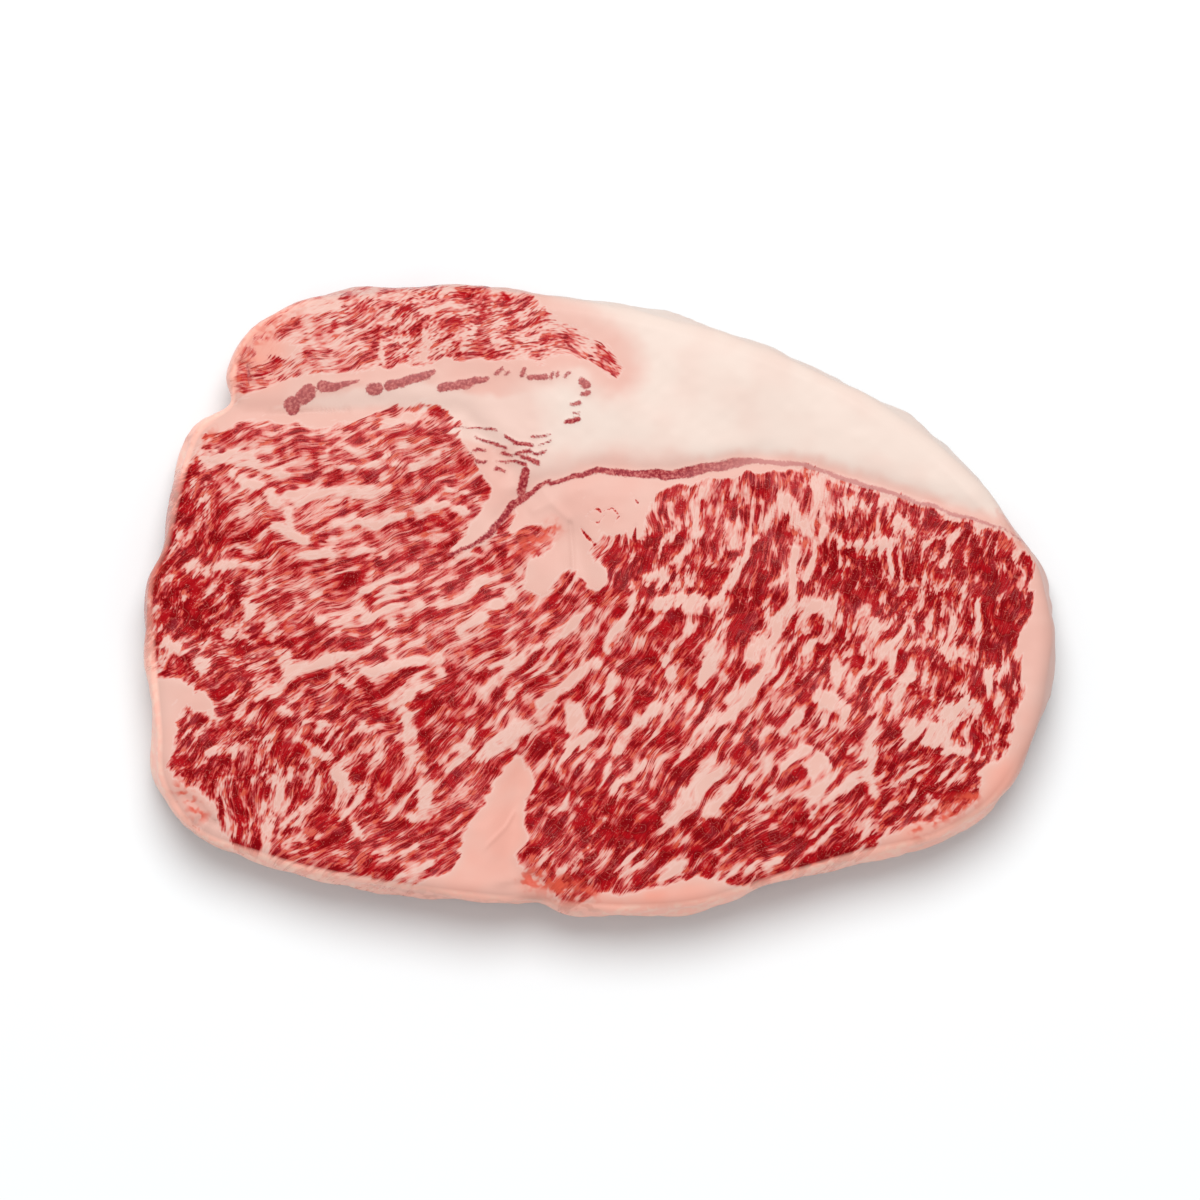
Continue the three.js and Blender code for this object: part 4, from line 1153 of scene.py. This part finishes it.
# %% Fine relief and gloss
RELIEF = 0.0001  # metres that the surface rises for 1 of relief
LEAN_RELIEF, LINE_RELIEF = -0.5, -0.07
FAT_ROUGHNESS, LEAN_SMOOTHER = 0.29, -0.05
GLOSS = 0.04  # on a scale where 0.5 is usual for anything that isn't metal
relief = times(is_lean, sums("MULTIPLY_ADD", lines, LINE_RELIEF, LEAN_RELIEF))
bumps = node("ShaderNodeBump", {"Strength": 1.0, "Distance": RELIEF, "Height": relief}).outputs["Normal"]
roughness = sums("MULTIPLY_ADD", is_lean, LEAN_SMOOTHER, FAT_ROUGHNESS)
surface = {"Base Color": colour, "Roughness": roughness, "Specular IOR Level": GLOSS, "Normal": bumps}
skin_shader = node("ShaderNodeBsdfPrincipled", surface)
node("ShaderNodeOutputMaterial", {"Surface": skin_shader.outputs["BSDF"]})
mesh.materials.append(beef)
print("material nodes:", len(tree.nodes))

# %% [markdown]
# ## Floor, light and camera
#
# The slice was pictured on a plain white table. One flat square is enough for it, and it lies a fifth of a
# millimetre under the slice, so that the two surfaces never share a place.

# %% Floor
FLOOR_REACH, FLOOR_LEVEL = 1.5, -0.0002  # metres
TABLE_WHITE = (0.672, 0.692, 0.70, 1)
sides = ((-1, -1), (1, -1), (1, 1), (-1, 1))
floor_corners = [(FLOOR_REACH * x, FLOOR_REACH * y, FLOOR_LEVEL) for x, y in sides]
floor_mesh = bpy.data.meshes.new("floor")
floor_mesh.from_pydata(floor_corners, [], [(0, 1, 2, 3)])
floor = bpy.data.objects.new("floor", floor_mesh)
bpy.context.collection.objects.link(floor)
white = bpy.data.materials.new("white table")
white.use_nodes = True
table_shader = white.node_tree.nodes["Principled BSDF"]
table_shader.inputs["Base Color"].default_value = TABLE_WHITE
table_shader.inputs["Roughness"].default_value = 0.9
table_shader.inputs["Specular IOR Level"].default_value = 0.0
floor_mesh.materials.append(white)
print("floor:", 2 * FLOOR_REACH, "m square")

# %% [markdown]
# The slice was lit softly from behind, so its shadow falls towards the viewer. A white dome gives the even
# light and a wide round lamp, tilted towards the slice, gives the direction. A small lamp would draw a hard
# shadow.

# %% Light
DOME_STRENGTH = 0.73
LAMP_BACK, LAMP_UP = 0.51, 1.17  # metres behind and above the slice
LAMP_SIZE, LAMP_WATTS = 0.75, 15.8
world = bpy.data.worlds.new("studio")
world.use_nodes = True
dome = world.node_tree.nodes["Background"]
dome.inputs["Color"].default_value = (1, 1, 1, 1)
dome.inputs["Strength"].default_value = DOME_STRENGTH
world.cycles_visibility.glossy = False
bpy.context.scene.world = world
lamp = bpy.data.lights.new("soft box", "AREA")
lamp.shape = "DISK"
lamp.size = LAMP_SIZE
lamp.energy = LAMP_WATTS
lamp_object = bpy.data.objects.new("soft box", lamp)
lamp_object.location = (0.0, LAMP_BACK, LAMP_UP)
lamp_object.rotation_euler = (np.arctan2(-LAMP_BACK, LAMP_UP), 0, 0)
bpy.context.collection.objects.link(lamp_object)
print("lamp:", lamp.energy, "W from", tuple(lamp_object.location))

# %% [markdown]
# The slice was seen from almost straight above. The camera stands far off with a long lens, because the
# outline shows hardly any perspective, and the lens follows from how much of the table the frame takes in.

# %% Camera
ELEVATION = np.radians(88)
DISTANCE = 1.6
FRAME_WIDTH = 0.240  # how much of the slice's plane the frame takes in
SENSOR = 36  # millimetres
target = np.array([0.0003, 0.0, 0.0125])
camera = bpy.data.cameras.new("camera")
camera.sensor_width = SENSOR
camera.lens = SENSOR * DISTANCE / FRAME_WIDTH
camera_object = bpy.data.objects.new("camera", camera)
camera_object.location = target + DISTANCE * np.array([0, -np.cos(ELEVATION), np.sin(ELEVATION)])
camera_object.rotation_euler = (np.pi / 2 - ELEVATION, 0, 0)
bpy.context.collection.objects.link(camera_object)
bpy.context.scene.camera = camera_object
bpy.context.scene.view_settings.view_transform = "Standard"
print("lens:", round(camera.lens), "mm")
